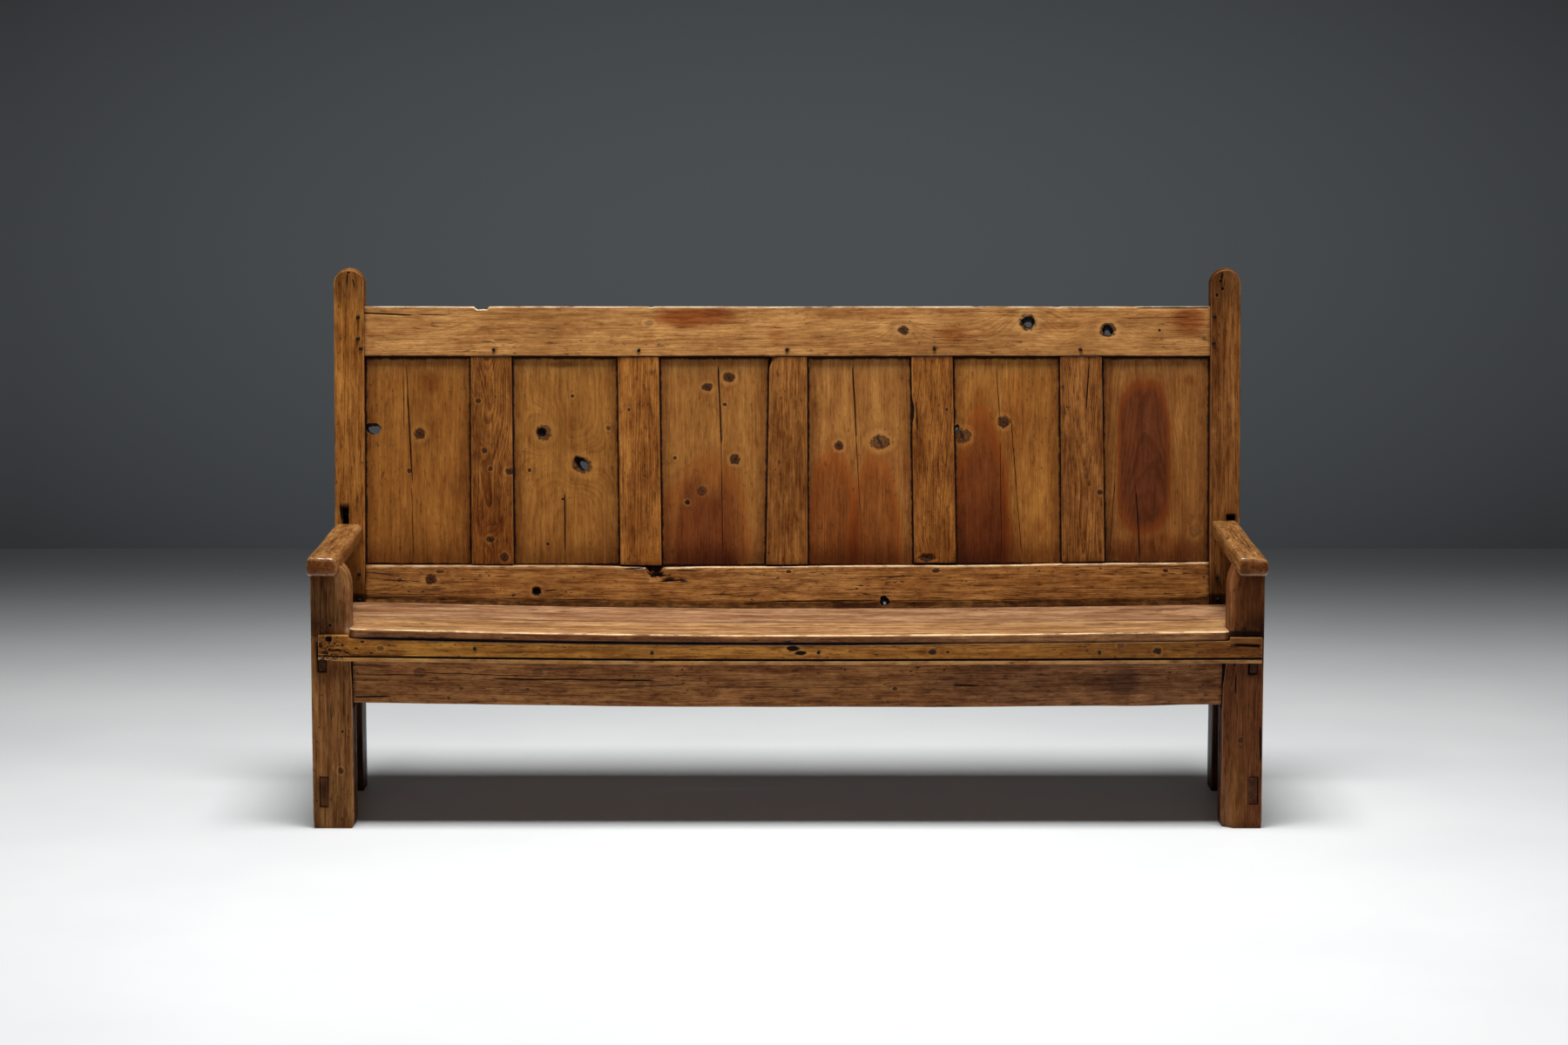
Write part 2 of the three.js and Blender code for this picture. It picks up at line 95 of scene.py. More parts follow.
# ------------------------------------------------------------------- noise
def _hash(ix, iy, iz, seed):
    h = (ix * 73856093) ^ (iy * 19349663) ^ (iz * 83492791) ^ (seed * 2654435761 & 0x7FFFFFFF)
    h = h & 0xFFFFFFFF
    h = ((h ^ (h >> 15)) * 2246822519) & 0xFFFFFFFF
    h = ((h ^ (h >> 13)) * 3266489917) & 0xFFFFFFFF
    h = h ^ (h >> 16)
    return (h & 0xFFFFFF).astype(np.float64) / 8388607.5 - 1.0


def noise3(x, y, z, seed=0):
    x, y, z = np.broadcast_arrays(x, y, z)
    fx, fy, fz = np.floor(x), np.floor(y), np.floor(z)
    ix, iy, iz = fx.astype(np.int64), fy.astype(np.int64), fz.astype(np.int64)
    u, v, w = x - fx, y - fy, z - fz
    u, v, w = (t * t * (3 - 2 * t) for t in (u, v, w))
    out = 0
    for a in (0, 1):
        for b in (0, 1):
            for c in (0, 1):
                wt = (u if a else 1 - u) * (v if b else 1 - v) * (w if c else 1 - w)
                out = out + wt * _hash(ix + a, iy + b, iz + c, seed)
    return out


def noise1(x, seed=0):
    return noise3(np.asarray(x, float), 0.5, 0.5, seed)


def fbm(x, y, z, seed=0, octaves=3):
    out, amp, f = 0, 1.0, 1.0
    for k in range(octaves):
        out = out + amp * noise3(x * f, y * f, z * f, seed + 17 * k)
        amp *= 0.5
        f *= 2.03
    return out


def smooth(a, b, x):
    t = np.clip((x - a) / (b - a), 0, 1)
    return t * t * (3 - 2 * t)


# ------------------------------------------------------- shapes from the CAD
SAG_END = 0.900


def sagged(left, mid, right):
    xs = np.linspace(-SAG_END, SAG_END, 13)
    t = np.abs(xs) / SAG_END
    zs = np.where(xs < 0, mid + (left - mid) * t * t, mid + (right - mid) * t * t)
    xs = np.concatenate([[-2], xs, [2]])
    zs = np.concatenate([[left], zs, [right]])

    def f(x):
        # a smooth curve through the same stations
        x = np.asarray(x, float)
        return (np.interp(x - 0.05, xs, zs) + 2 * np.interp(x, xs, zs) + np.interp(x + 0.05, xs, zs)) / 4
    return f


seat_top = sagged(0.427, 0.414, 0.421)
seat_under = sagged(0.407, 0.394, 0.401)
apron_low = sagged(0.267, 0.258, 0.263)
strip_low = sagged(0.358, 0.350, 0.353)


def lower_rail_top(x):
    x = np.asarray(x, float)
    base = np.where(x < 0, 64.7 + 3.5 * (-x / 0.93), 64.7 + 8.5 * (x / 0.93)) * MM
    return base


def worn_top(x):
    """the lower rail's top edge, worn in waves"""
    wave = 0.0016 * noise1(x * 4.5, 31) + 0.0008 * noise1(x * 14, 32)
    dip = -0.0035 * np.exp(-((x + 0.30) / 0.10) ** 2)
    return lower_rail_top(x) + wave + dip - 0.0004


MUNTINS = [  # left low, left high, right low, right high
    (-0.6982, -0.6991, -0.6055, -0.6089), (-0.3694, -0.3746, -0.2784, -0.2838), (-0.0467, -0.0392, 0.0450, 0.0436),
    (0.2811, 0.2738, 0.3738, 0.3648), (0.6080, 0.6027, 0.7023, 0.6948)]
RAIL_LOW, RAIL_HIGH = 0.529, 0.6385


def back_point(x, w, d):
    """x, metres up the rake, depth behind the posts' front face -> row frame"""
    return np.stack([x, YK + d * CR + w * SR, KNEE - d * SR + w * CR], -1)


# ------------------------------------------------------------ board builder
class Crack:
    """A split along the grain from (u0, v0) to (u1, v1); half width w, depth, and how it wanders."""
    def __init__(self, u0, v0, u1, v1, w=0.6, depth=2.0, wander=1.2, seed=0, open0=False, open1=False, dark=1.0, smear=0.0):
        if u0 > u1:
            u0, v0, u1, v1, open0, open1 = u1, v1, u0, v0, open1, open0
        self.u0, self.u1, self.v0, self.v1 = u0, u1, v0, v1
        self.w, self.depth, self.wander = (w * 1.45 if w < 0.6 else w * 1.9) * MM, depth * MM, wander * MM
        self.seed, self.open0, self.open1, self.dark, self.smear = seed, open0, open1, dark, smear
        if w < 0.36:
            self.dark = dark * 0.45
        n = max(6, int((self.u1 - self.u0) / 0.002))
        u = self.us = np.linspace(self.u0, self.u1, n)
        t = (u - self.u0) / max(self.u1 - self.u0, 1e-6)
        self.vs = self.v0 + (self.v1 - self.v0) * t + self.wander * (noise1(u * 22, seed) * 0.7 + noise1(u * 75, seed + 5) * 0.3)
        e = min(0.03, 0.35 * (self.u1 - self.u0))
        a = np.ones_like(u) if open0 else smooth(self.u0, self.u0 + e, u)
        b = np.ones_like(u) if open1 else 1 - smooth(self.u1 - e, self.u1, u)
        self.ts = a * b * np.clip(0.8 + 0.5 * noise1(u * 30, seed + 9), 0.1, 1.3)

    @property
    def vc(self):
        return (self.v0 + self.v1) / 2

    def path(self, u):
        return np.interp(u, self.us, self.vs)

    def taper(self, u):
        return np.interp(u, self.us, self.ts, left=0, right=0)


class Hole:
    """A hole right through: ellipse (ru, rv) turned by `turn`, or a rectangle when rect is set."""
    def __init__(self, u, v, ru, rv, turn=0.0, rect=None, back=0.85, shift=(0, 0), seed=0, window=None):
        self.window = window
        self.u, self.v, self.ru, self.rv, self.turn = u, v, ru, rv, turn
        self.rect, self.back, self.shift, self.seed = rect, back, shift, seed

    def local(self, u, v):
        c, s = math.cos(self.turn), math.sin(self.turn)
        du, dv = u - self.u, v - self.v
        return (du * c + dv * s) / self.ru, (-du * s + dv * c) / self.rv

    def radius(self, a):
        return 1 + 0.09 * np.sin(2 * a + self.seed) + 0.07 * np.sin(3 * a + 2.1 * self.seed) + 0.04 * np.sin(7 * a + self.seed)

    def inside(self, u, v):
        if self.rect:
            u0, u1, v0, v1 = self.rect
            return (u > u0) & (u < u1) & (v > v0) & (v < v1)
        a, b = self.local(u, v)
        return np.hypot(a, b) < self.radius(np.arctan2(b, a))

    def snap(self, u, v):
        if self.rect:
            return u, v
        a, b = self.local(u, v)
        ang, rad = np.arctan2(b, a), np.hypot(a, b)
        k = self.radius(ang) / np.maximum(rad, 1e-9)
        a, b = a * k * self.ru, b * k * self.rv
        c, s = math.cos(self.turn), math.sin(self.turn)
        return self.u + a * c - b * s, self.v + a * s + b * c


def tidy(values, lo, hi, gap):
    values = sorted(v for v in values if lo - 1e-9 <= v <= hi + 1e-9)
    out = [lo]
    for v in values:
        if v - out[-1] > gap and hi - v > gap * 0.6:
            out.append(v)
    out.append(hi)
    return np.array(out)


def lines(length, step, edge0, edge1, extra=(), keep=()):
    """lattice stations 0..length: even steps, rounding stations at each end, extra clusters; `keep` are exact"""
    vals = list(np.linspace(0, length, max(2, int(round(length / step)) + 1)))
    for r, at, sign in ((edge0, 0, 1), (edge1, length, -1)):
        if r > 0:
            vals += [at + sign * r * k for k in (0.06, 0.22, 0.45, 0.75, 1.1)]
    for centre, half, fine in extra:
        n = max(1, int(round(half / fine)))
        vals += [centre + half * k / n for k in range(-n, n + 1)]
    keep = [k for k in keep if 0 < k < length]
    vals = [v for v in vals if all(abs(v - k) > 0.0009 for k in keep)]
    fine_gap = 0.00035
    base = sorted(v for v in vals + keep if 0 < v < length)
    out = [0.0]
    for v in base:
        if v in keep or (v - out[-1] > fine_gap and length - v > fine_gap):
            out.append(v)
    out.append(length)
    return np.array(out)


def new_mesh_object(name, co, quads, attrs):
    me = bpy.data.meshes.new(name)
    me.vertices.add(len(co))
    me.vertices.foreach_set("co", np.ascontiguousarray(co, np.float32).ravel())
    me.loops.add(len(quads) * 4)
    me.loops.foreach_set("vertex_index", np.ascontiguousarray(quads, np.int32).ravel())
    me.polygons.add(len(quads))
    me.polygons.foreach_set("loop_start", np.arange(0, len(quads) * 4, 4, dtype=np.int32))
    me.polygons.foreach_set("use_smooth", np.ones(len(quads), bool))
    me.update(calc_edges=True)
    for key, data in attrs.items():
        if data.ndim == 2:
            a = me.attributes.new(key, "FLOAT_VECTOR", "POINT")
            a.data.foreach_set("vector", np.ascontiguousarray(data, np.float32).ravel())
        else:
            a = me.attributes.new(key, "FLOAT", "POINT")
            a.data.foreach_set("value", np.ascontiguousarray(data, np.float32))
    me.validate()
    ob = bpy.data.objects.new(name, me)
    SCENE.collection.objects.link(ob)
    return ob


def build_board(L, W, T, place, *, du=0.010, dv=0.009, r=(3, 3, 3, 3), re=(1, 1), rvar=0.35, wav=0.35,
                cracks=(), knots=(), holes=(), seed=0, shape=None, dirt_and_shade=None, ulines=(), vlines=(), nmid=1,
                grain=None, keep_u=(), keep_v=(), back_cracks=0.6, black=None, worn=None, under=None, rub_and_sheen=None):
    """The lattice of one board. u runs along the grain 0..L, v across 0..W, n from 0 at the front face to -T.
    r = edge radii in mm: (v low front, v high front, v low back, v high back); re = end radii in mm."""
    r = [x * MM for x in r]
    re = [x * MM for x in re]
    ue, ve = [], []
    keep_u, keep_v = list(keep_u), list(keep_v)
    for k in knots:
        if k.get("geo", True):
            ue.append((k["u"], k["ru"] * 1.3, max(0.0022, k["ru"] / 3)))
            ve.append((k["v"], k["rv"] * 1.3, max(0.0022, k["rv"] / 3)))
    for h in holes:
        if h.rect:
            keep_u += [h.rect[0], h.rect[1]]
            keep_v += [h.rect[2], h.rect[3]]
        else:
            m = max(h.ru, h.rv) * 1.15
            ue.append((h.u, m, 0.0011))
            ve.append((h.v, m, 0.0011))
    for c in cracks:
        w = c.w
        for k in (-3.4, -1.5, -0.6, 0, 0.6, 1.5, 3.4):
            ve.append((c.vc + k * w, 0.0, 1))
    for a in ulines:
        ue.append(a)
    for a in vlines:
        ve.append(a)
    U = lines(L, du, max(re[0], 0.0008), max(re[1], 0.0008), ue, keep_u)
    V = lines(W, dv, max(r[0], r[2]), max(r[1], r[3]), ve, keep_v)
    rf, rb = max(r[0], r[1]), max(r[2], r[3])
    ns = [0] + [rf * k for k in (0.12, 0.4, 0.8)] + [rf + (T - rf - rb) * (k + 1) / (nmid + 1) for k in range(nmid)]
    ns += [T - rb * k for k in (0.8, 0.4, 0.12)] + [T]
    N = -np.array(sorted(set(round(x, 7) for x in ns if 0 <= x <= T)))
    nu, nv, nn = len(U), len(V), len(N)
    I, J, K = np.meshgrid(np.arange(nu), np.arange(nv), np.arange(nn), indexing="ij")
    surf = (I == 0) | (I == nu - 1) | (J == 0) | (J == nv - 1) | (K == 0) | (K == nn - 1)
    ids = -np.ones((nu, nv, nn), np.int64)
    ids[surf] = np.arange(surf.sum())
    u, v, n = U[I[surf]], V[J[surf]], N[K[surf]]
    top, bot = (K[surf] == 0), (K[surf] == nn - 1)
    uu, vv = u.copy(), v.copy()

    # lattice lines follow the cracks
    for c in cracks:
        reach = min([0.026, c.vc * 0.95, (W - c.vc) * 0.95] + [abs(c.vc - o.vc) * 0.9 for o in cracks if o is not c and abs(c.vc - o.vc) > 0.004])
        reach = max(reach, 0.003)
        uc = np.clip(u, c.u0, c.u1)
        off = np.clip(c.path(uc) - c.vc, -reach * 0.55, reach * 0.55)
        t = np.clip(np.abs(vv - c.vc) / reach, 0, 1)
        v = v + off * (1 - t * t) ** 2

    # knot holes
    gone_top = np.zeros((nu - 1, nv - 1), bool)
    hole_pts, hole_backs = {}, {}
    if holes:
        cu = (U[:-1] + U[1:])[:, None] / 2 + np.zeros((1, nv - 1))
        cv = (V[:-1] + V[1:])[None, :] / 2 + np.zeros((nu - 1, 1))
        for h in holes:
            m = h.inside(cu, cv)
            gone_top |= m
            touch = np.zeros((nu, nv), bool)
            for a in (0, 1):
                for b in (0, 1):
                    touch[a:nu - 1 + a, b:nv - 1 + b] |= m
            allin = np.ones((nu, nv), bool)
            for a in (0, 1):
                for b in (0, 1):
                    blk = np.zeros((nu, nv), bool)
                    blk[a:nu - 1 + a, b:nv - 1 + b] = m
                    allin &= blk
            edge = touch & ~allin
            for face, kk in (("top", 0), ("bot", nn - 1)):
                ii = ids[:, :, kk][edge]
                su, sv = h.snap(u[ii], v[ii])
                if face == "bot" and not h.rect:
                    su = h.u + (su - h.u) * h.back + h.shift[0]
                    sv = h.v + (sv - h.v) * h.back + h.shift[1]
                elif face == "bot" and h.window:
                    u0, u1, v0, v1 = h.rect
                    a0, a1, b0, b1 = h.window
                    su = a0 + (su - u0) / (u1 - u0) * (a1 - a0)
                    sv = b0 + (sv - v0) / (v1 - v0) * (b1 - b0)
                u[ii], v[ii] = su, sv
            hole_pts[id(h)] = ids[:, :, 0][edge]
            hole_backs[id(h)] = ids[:, :, nn - 1][edge]

    # rounded edges
    un, vn, nnn = u.copy(), v.copy(), n.copy()
    front = n > -T / 2
    low = v < W / 2
    rad = np.where(front, np.where(low, r[0], r[1]), np.where(low, r[2], r[3]))
    rad = rad * (1 + rvar * noise1(u * 9 + 3.1 * low + 7.7 * front, seed + 3))
    rad = np.minimum(rad, min(T * 0.49, W * 0.49))
    rend = np.where(u < L / 2, re[0], re[1])
    rend = np.maximum(rend * (1 + rvar * noise1(v * 40 + 5 * front, seed + 4)), 1e-5)
    cu, cv, cn = np.clip(u, rend, L - rend), np.clip(v, rad, W - rad), np.clip(n, -T + rad, -rad)
    a, b, c3 = (u - cu) / rend, (v - cv) / np.maximum(rad, 1e-6), (n - cn) / np.maximum(rad, 1e-6)
    ln = np.sqrt(a * a + b * b + c3 * c3)
    ln = np.maximum(ln, 1e-9)
    k = np.where(ln > 1e-6, 1 / ln, 0)
    un, vn, nnn = cu + a * k * rend, cv + b * k * rad, cn + c3 * k * rad
    wear_and_sheen = np.clip(2.2 * np.abs(b * k) * np.abs(c3 * k) + 1.8 * np.abs(a * k) * np.abs(c3 * k), 0, 1)
    u, v, n = un, vn, nnn

    crack_shade = np.zeros(len(u))
    smear = np.zeros(len(u))
    # cracks open the surface
    for c in cracks:
        d = np.abs(v - c.path(np.clip(u, c.u0, c.u1)))
        prof = np.exp(-(d / c.w) ** 2)
        t = c.taper(uu)
        for face, gain, sign in ((top, 1.0, -1), (bot, back_cracks, 1)):
            if gain:
                amt = prof * t * gain * face
                n = n + sign * c.depth * amt
                crack_shade = np.maximum(crack_shade, np.clip(amt * 1.5, 0, 1) * c.dark)
        if c.smear:
            smear = np.maximum(smear, np.exp(-d / (2.6 * c.w)) * t * c.smear * top)
    # knots: a shallow ring, a slightly raised or sunken heart
    for q in knots:
        if not q.get("geo", True):
            continue
        d = np.hypot((u - q["u"]) / q["ru"], (v - q["v"]) / q["rv"])
        ring = np.exp(-((d - 1) / 0.16) ** 2)
        heart = 1 - smooth(0.75, 1.0, d)
        near = d < 2.2
        n = n + (top * 1.0 - bot * 1.0) * near * (-0.22 * MM * ring * q.get("deep", 1) - q.get("pit", 0) * MM * heart + 0.3 * MM * np.exp(-(d / 1.6) ** 2))
        crack_shade = np.maximum(crack_shade, ring * 0.16 * (top | bot) * near * q.get("deep", 1))
        if q.get("pit"):
            crack_shade = np.maximum(crack_shade, 0.9 * heart * top)
    # painted shade in the knot holes: the rim is darkened and the walls turn black towards the back
    for h in holes:
        i0 = hole_pts[id(h)]
        crack_shade[i0] = np.maximum(crack_shade[i0], 0.45)
        crack_shade[hole_backs[id(h)]] = 1.0
    # hand-planed unevenness
    if wav:
        s = wav * MM
        n = n + s * fbm(u * 7, v * 16, np.zeros_like(u), seed + 11, 3) * 0.8
        v = v + s * noise3(u * 9, v * 3, n * 20, seed + 12) * 0.8
        n = n + 0.12 * MM * noise3(u * 90, v * 260, n * 100, seed + 13)
        u = u + s * 0.6 * noise3(u * 3, v * 25, n * 40, seed + 14)
    g = np.stack([u, v, n], -1)
    if grain is not None:
        g = grain(u, v, n)
    grime_shade = np.maximum(smear, dirt_and_shade(uu, vv, n)) if dirt_and_shade is not None else smear
    # painted black: dark joints, and painted shade in gaps and grooves
    if black is not None:
        crack_shade = np.maximum(crack_shade, black(uu, vv, n))
    if worn is not None:
        wear_and_sheen = np.clip(wear_and_sheen * worn(uu, vv, n), 0, 1)
    # polished edges, raised on some boards into a painted highlight
    if rub_and_sheen is not None:
        wear_and_sheen = np.maximum(wear_and_sheen, np.clip(rub_and_sheen(uu, vv, n), 0, 1))
    # a mask of painted shade for faces lying under other parts
    underside_shade = under(uu, vv, n) if under is not None else None
    if shape is not None:
        u, v, n = shape(u, v, n)
    co = place(u, v, n)

    # faces
    def grid(idx, flip, skip=None):
        q = np.stack([idx[:-1, :-1], idx[1:, :-1], idx[1:, 1:], idx[:-1, 1:]], -1)
        if skip is not None:
            q = q[~skip]
        q = q.reshape(-1, 4)
        return q[:, ::-1] if flip else q
    faces = [grid(ids[:, :, 0], False, gone_top), grid(ids[:, :, -1], True, gone_top),
             grid(ids[:, 0, :], False), grid(ids[:, -1, :], True),
             grid(ids[0, :, :].T, False), grid(ids[-1, :, :].T, True)]
    # check: side faces' winding; K runs from the front (0) to the back
    if holes:
        g0, gl = ids[:, :, 0], ids[:, :, -1]
        m = gone_top
        pad = np.pad(m, 1)
        walls = []
        for di, dj in ((1, 0), (-1, 0), (0, 1), (0, -1)):
            nb = pad[1 + di:nu + di, 1 + dj:nv + dj]
            ii, jj = np.nonzero(m & ~nb)
            if di == 1:
                e = ((ii + 1, jj), (ii + 1, jj + 1))
            elif di == -1:
                e = ((ii, jj + 1), (ii, jj))
            elif dj == 1:
                e = ((ii + 1, jj + 1), (ii, jj + 1))
            else:
                e = ((ii, jj), (ii + 1, jj))
            (a0, b0), (a1, b1) = e
            walls.append(np.stack([g0[a0, b0], g0[a1, b1], gl[a1, b1], gl[a0, b0]], -1))
        faces.append(np.concatenate(walls))
    quads = np.concatenate(faces)
    # drop points no face uses (inside the holes)
    used = np.zeros(len(co), bool)
    used[quads.ravel()] = True
    remap = np.cumsum(used) - 1
    quads = remap[quads]
    co, g, crack_shade, grime_shade, wear_and_sheen = co[used], g[used], crack_shade[used], grime_shade[used], wear_and_sheen[used]
    # outward winding: signed volume must be positive
    p = co[quads]
    vol = np.einsum("ij,ij->i", p[:, 0], np.cross(p[:, 1], p[:, 2])).sum() + np.einsum("ij,ij->i", p[:, 0], np.cross(p[:, 2], p[:, 3])).sum()
    if vol < 0:
        quads = quads[:, ::-1]
    at = {"gr": g, "crack_shade": crack_shade, "grime_shade": grime_shade, "wear_sheen": wear_and_sheen}
    if underside_shade is not None:
        at["underside_shade"] = underside_shade[used]
    return co, quads, at


def join(parts):
    co, quads, at, k = [], [], {}, 0
    for c, q, a in parts:
        co.append(c)
        quads.append(q + k)
        k += len(c)
        for key, val in a.items():
            at.setdefault(key, []).append(val)
    return np.concatenate(co), np.concatenate(quads), {key: np.concatenate(val) for key, val in at.items()}


PIECES = []


def finish_piece(name, node, data, material):
    co, quads, attrs = data
    ob = new_mesh_object(name, co, quads, attrs)
    ob.data.materials.append(material)
    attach(ob, "root")
    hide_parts(node)
    PIECES.append(ob)
    return ob


# ---------------------------------------------------------------- materials
class Graph:
    def __init__(self, name):
        self.mat = bpy.data.materials.new(name)
        self.mat.use_nodes = True
        self.tree = self.mat.node_tree
        self.tree.nodes.clear()

    def node(self, kind, **props):
        n = self.tree.nodes.new(kind)
        for k, v in props.items():
            setattr(n, k, v)
        return n

    def put(self, socket, value):
        if isinstance(value, bpy.types.NodeSocket):
            self.tree.links.new(value, socket)
        else:
            socket.default_value = value

    def math(self, op, a, b=None, c=None, clamp=False):
        n = self.node("ShaderNodeMath", operation=op, use_clamp=clamp)
        for s, v in zip(n.inputs, (a, b, c)):
            if v is not None:
                self.put(s, v)
        return n.outputs[0]

    def vec(self, op, a, b=None, c=None):
        n = self.node("ShaderNodeVectorMath", operation=op)
        self.put(n.inputs[0], a)
        if b is not None:
            self.put(n.inputs[3] if op == "SCALE" else n.inputs[1], b)
        if c is not None:
            self.put(n.inputs[2], c)
        return n.outputs["Value"] if op in ("LENGTH", "DISTANCE", "DOT_PRODUCT") else n.outputs[0]

    def xyz(self, x, y, z):
        n = self.node("ShaderNodeCombineXYZ")
        for s, v in zip(n.inputs, (x, y, z)):
            self.put(s, v)
        return n.outputs[0]

    def split(self, v):
        n = self.node("ShaderNodeSeparateXYZ")
        self.put(n.inputs[0], v)
        return n.outputs

    def attr(self, name):
        n = self.node("ShaderNodeAttribute", attribute_name=name)
        return n

    def noise(self, v, scale=1.0, detail=2.0, rough=0.5, lac=2.0, dist=0.0, out="Fac"):
        n = self.node("ShaderNodeTexNoise")
        self.put(n.inputs["Vector"], v)
        n.inputs["Scale"].default_value = scale
        n.inputs["Detail"].default_value = detail
        n.inputs["Roughness"].default_value = rough
        n.inputs["Lacunarity"].default_value = lac
        n.inputs["Distortion"].default_value = dist
        return n.outputs[out]

    def step(self, x, a, b, lo=0.0, hi=1.0):
        """smooth step of x from a to b"""
        n = self.node("ShaderNodeMapRange", interpolation_type="SMOOTHSTEP")
        self.put(n.inputs["Value"], x)
        n.inputs["From Min"].default_value = a
        n.inputs["From Max"].default_value = b
        n.inputs["To Min"].default_value = lo
        n.inputs["To Max"].default_value = hi
        return n.outputs[0]

    def mix(self, f, a, b, mode="MIX"):
        n = self.node("ShaderNodeMix", data_type="RGBA", blend_type=mode)
        n.clamp_factor = True
        self.put(n.inputs[0], f)
        for s, v in ((n.inputs[6], a), (n.inputs[7], b)):
            if isinstance(v, tuple) and len(v) == 3:
                v = (*v, 1.0)
            self.put(s, v)
        return n.outputs[2]

    def mul(self, a, b):
        return self.math("MULTIPLY", a, b)

    def add(self, a, b):
        return self.math("ADD", a, b)


def pine(name, *, seed=1, early=(0.50, 0.24, 0.075), late=(0.27, 0.095, 0.022), ring=300.0, pith=(0.3, -0.05),
         taper=0.02, contrast=0.55, wave=1.0, knots=(), stains_and_painted_light=(), tone=1.0, blotch=0.25, grime_shade_gain=0.5, dashes=0.5,
         worms=0.0, red=0.15, rough=0.46, wear_sheen_gain=0.5, coat=0.3, grey=0.0, cathedral=None, spec=0.10, grit=1.0, checks=None, pits=0.0, edges=(), underside_shade_tint=None, worn=(1.35, 1.45, 1.9), gloss=0.26, long=1.0, drift=0.35):
    """Old oiled pine. grit = how strongly the grain shows. pith = where the tree's heart lies (across, depth) from the board's corner, in metres;
    ring = rings per metre of radius."""
    tint = FINISH[name]
    g = Graph(name)
    G = g.attr("gr").outputs["Vector"]
    off = (seed * 1.731 % 7, seed * 2.317 % 5, seed * 0.917 % 3)
    P = g.vec("ADD", G, off)
    u, v, n = g.split(G)

    # wandering grain
    wob = g.noise(g.vec("MULTIPLY", P, (2.6, 7.0, 7.0)), 1.0, 2.0, 0.5, out="Color")
    wob = g.vec("SUBTRACT", wob, (0.5, 0.5, 0.5))
    wob = g.vec("MULTIPLY", wob, (0.0, 0.022 * wave, 0.030 * wave))
    Gw = g.vec("ADD", G, wob)
    _, vw, nw = g.split(Gw)
    dvp = g.math("SUBTRACT", vw, pith[0])
    dnp = g.math("SUBTRACT", nw, pith[1])
    R = g.math("SQRT", g.add(g.mul(dvp, dvp), g.mul(dnp, dnp)))
    R = g.add(R, g.mul(u, taper))
    slow = g.noise(g.vec("MULTIPLY", P, (1.3, 6.0, 6.0)), 1.0, 1.0, 0.5)
    R = g.add(R, g.mul(slow, 0.016 * wave))

    knot_mask = knot_ring = None
    knot_tint = None
    masks, rims, hearts = [], [], []
    wk = None
    if knots:
        wk = g.noise(g.vec("MULTIPLY", P, (120.0, 120.0, 120.0)), 1.0, 2.0, 0.55)
        wk = g.math("SUBTRACT", wk, 0.5)

    def knot_offsets(k):
        du = g.math("SUBTRACT", u, k["u"])
        dv = g.math("SUBTRACT", v, k["v"])
        turn = k.get("turn", 0.0)
        c, s = math.cos(turn), math.sin(turn)
        if turn:
            du, dv = g.add(g.mul(du, c), g.mul(dv, s)), g.math("SUBTRACT", g.mul(dv, c), g.mul(du, s))
        return du, dv, g.math("DIVIDE", du, k["ru"]), g.math("DIVIDE", dv, k["rv"])

    def knot_distance(a, b):
        return g.add(g.math("SQRT", g.add(g.mul(a, a), g.mul(b, b))), g.mul(wk, 0.95))

    for k in knots:
        if not k.get("geo", True):
            masks.append((None, None, k))
            continue
        du, dv, a, b = knot_offsets(k)
        # the rings bow around the knot, further along the grain than across it
        reach = k.get("reach", 2.6)
        da, db = g.math("DIVIDE", du, k["ru"] * reach * 1.5), g.math("DIVIDE", dv, k["rv"] * reach)
        d2 = g.add(g.mul(da, da), g.mul(db, db))
        bow = g.math("EXPONENT", g.mul(d2, -1.0))
        R = g.add(R, g.mul(bow, k.get("bow", 0.9) * (k["ru"] + k["rv"])))
        d = knot_distance(a, b)
        lean = 0.6 + 1.7 * (len(masks) * 0.37 % 1)
        split = g.math("ABSOLUTE", g.add(g.add(g.mul(a, math.cos(lean)), g.mul(b, math.sin(lean))), g.mul(wk, 0.55)))
        masks.append((d, split, k))
    if cathedral:
        # long arches up the board: (centre u, centre v, half length, half width, height)
        for cu, cv, hu, hv, hh in cathedral:
            a = g.math("DIVIDE", g.math("SUBTRACT", u, cu), hu)
            b = g.math("DIVIDE", g.math("SUBTRACT", v, cv), hv)
            e = g.math("EXPONENT", g.mul(g.add(g.mul(a, a), g.mul(b, b)), -1.0))
            R = g.add(R, g.mul(e, hh))

    # uneven ring widths, then each ring from pale early wood to a dark late line
    uneven = g.noise(g.xyz(g.mul(R, 55.0), seed * 3.3, 0.0), 1.0, 1.0, 0.5)
    phase = g.add(g.mul(R, ring), g.mul(uneven, 3.2))
    t = g.math("FRACT", phase)
    latew = g.mul(g.step(t, 0.25, 0.88), g.step(t, 0.93, 1.0, 1.0, 0.0))
    cell = g.math("FLOOR", phase)
    rv_ = g.node("ShaderNodeTexWhiteNoise", noise_dimensions="1D")
    g.put(rv_.inputs["W"], g.add(cell, seed * 7.1))
    ring_gain = g.add(g.mul(rv_.outputs["Value"], 0.8), 0.45)
    soft = g.noise(g.vec("MULTIPLY", P, (3.0, 30.0, 30.0)), 1.0, 2.0, 0.6)
    latew = g.mul(g.mul(latew, ring_gain), g.step(soft, 0.22, 0.62, 0.35, 1.0))

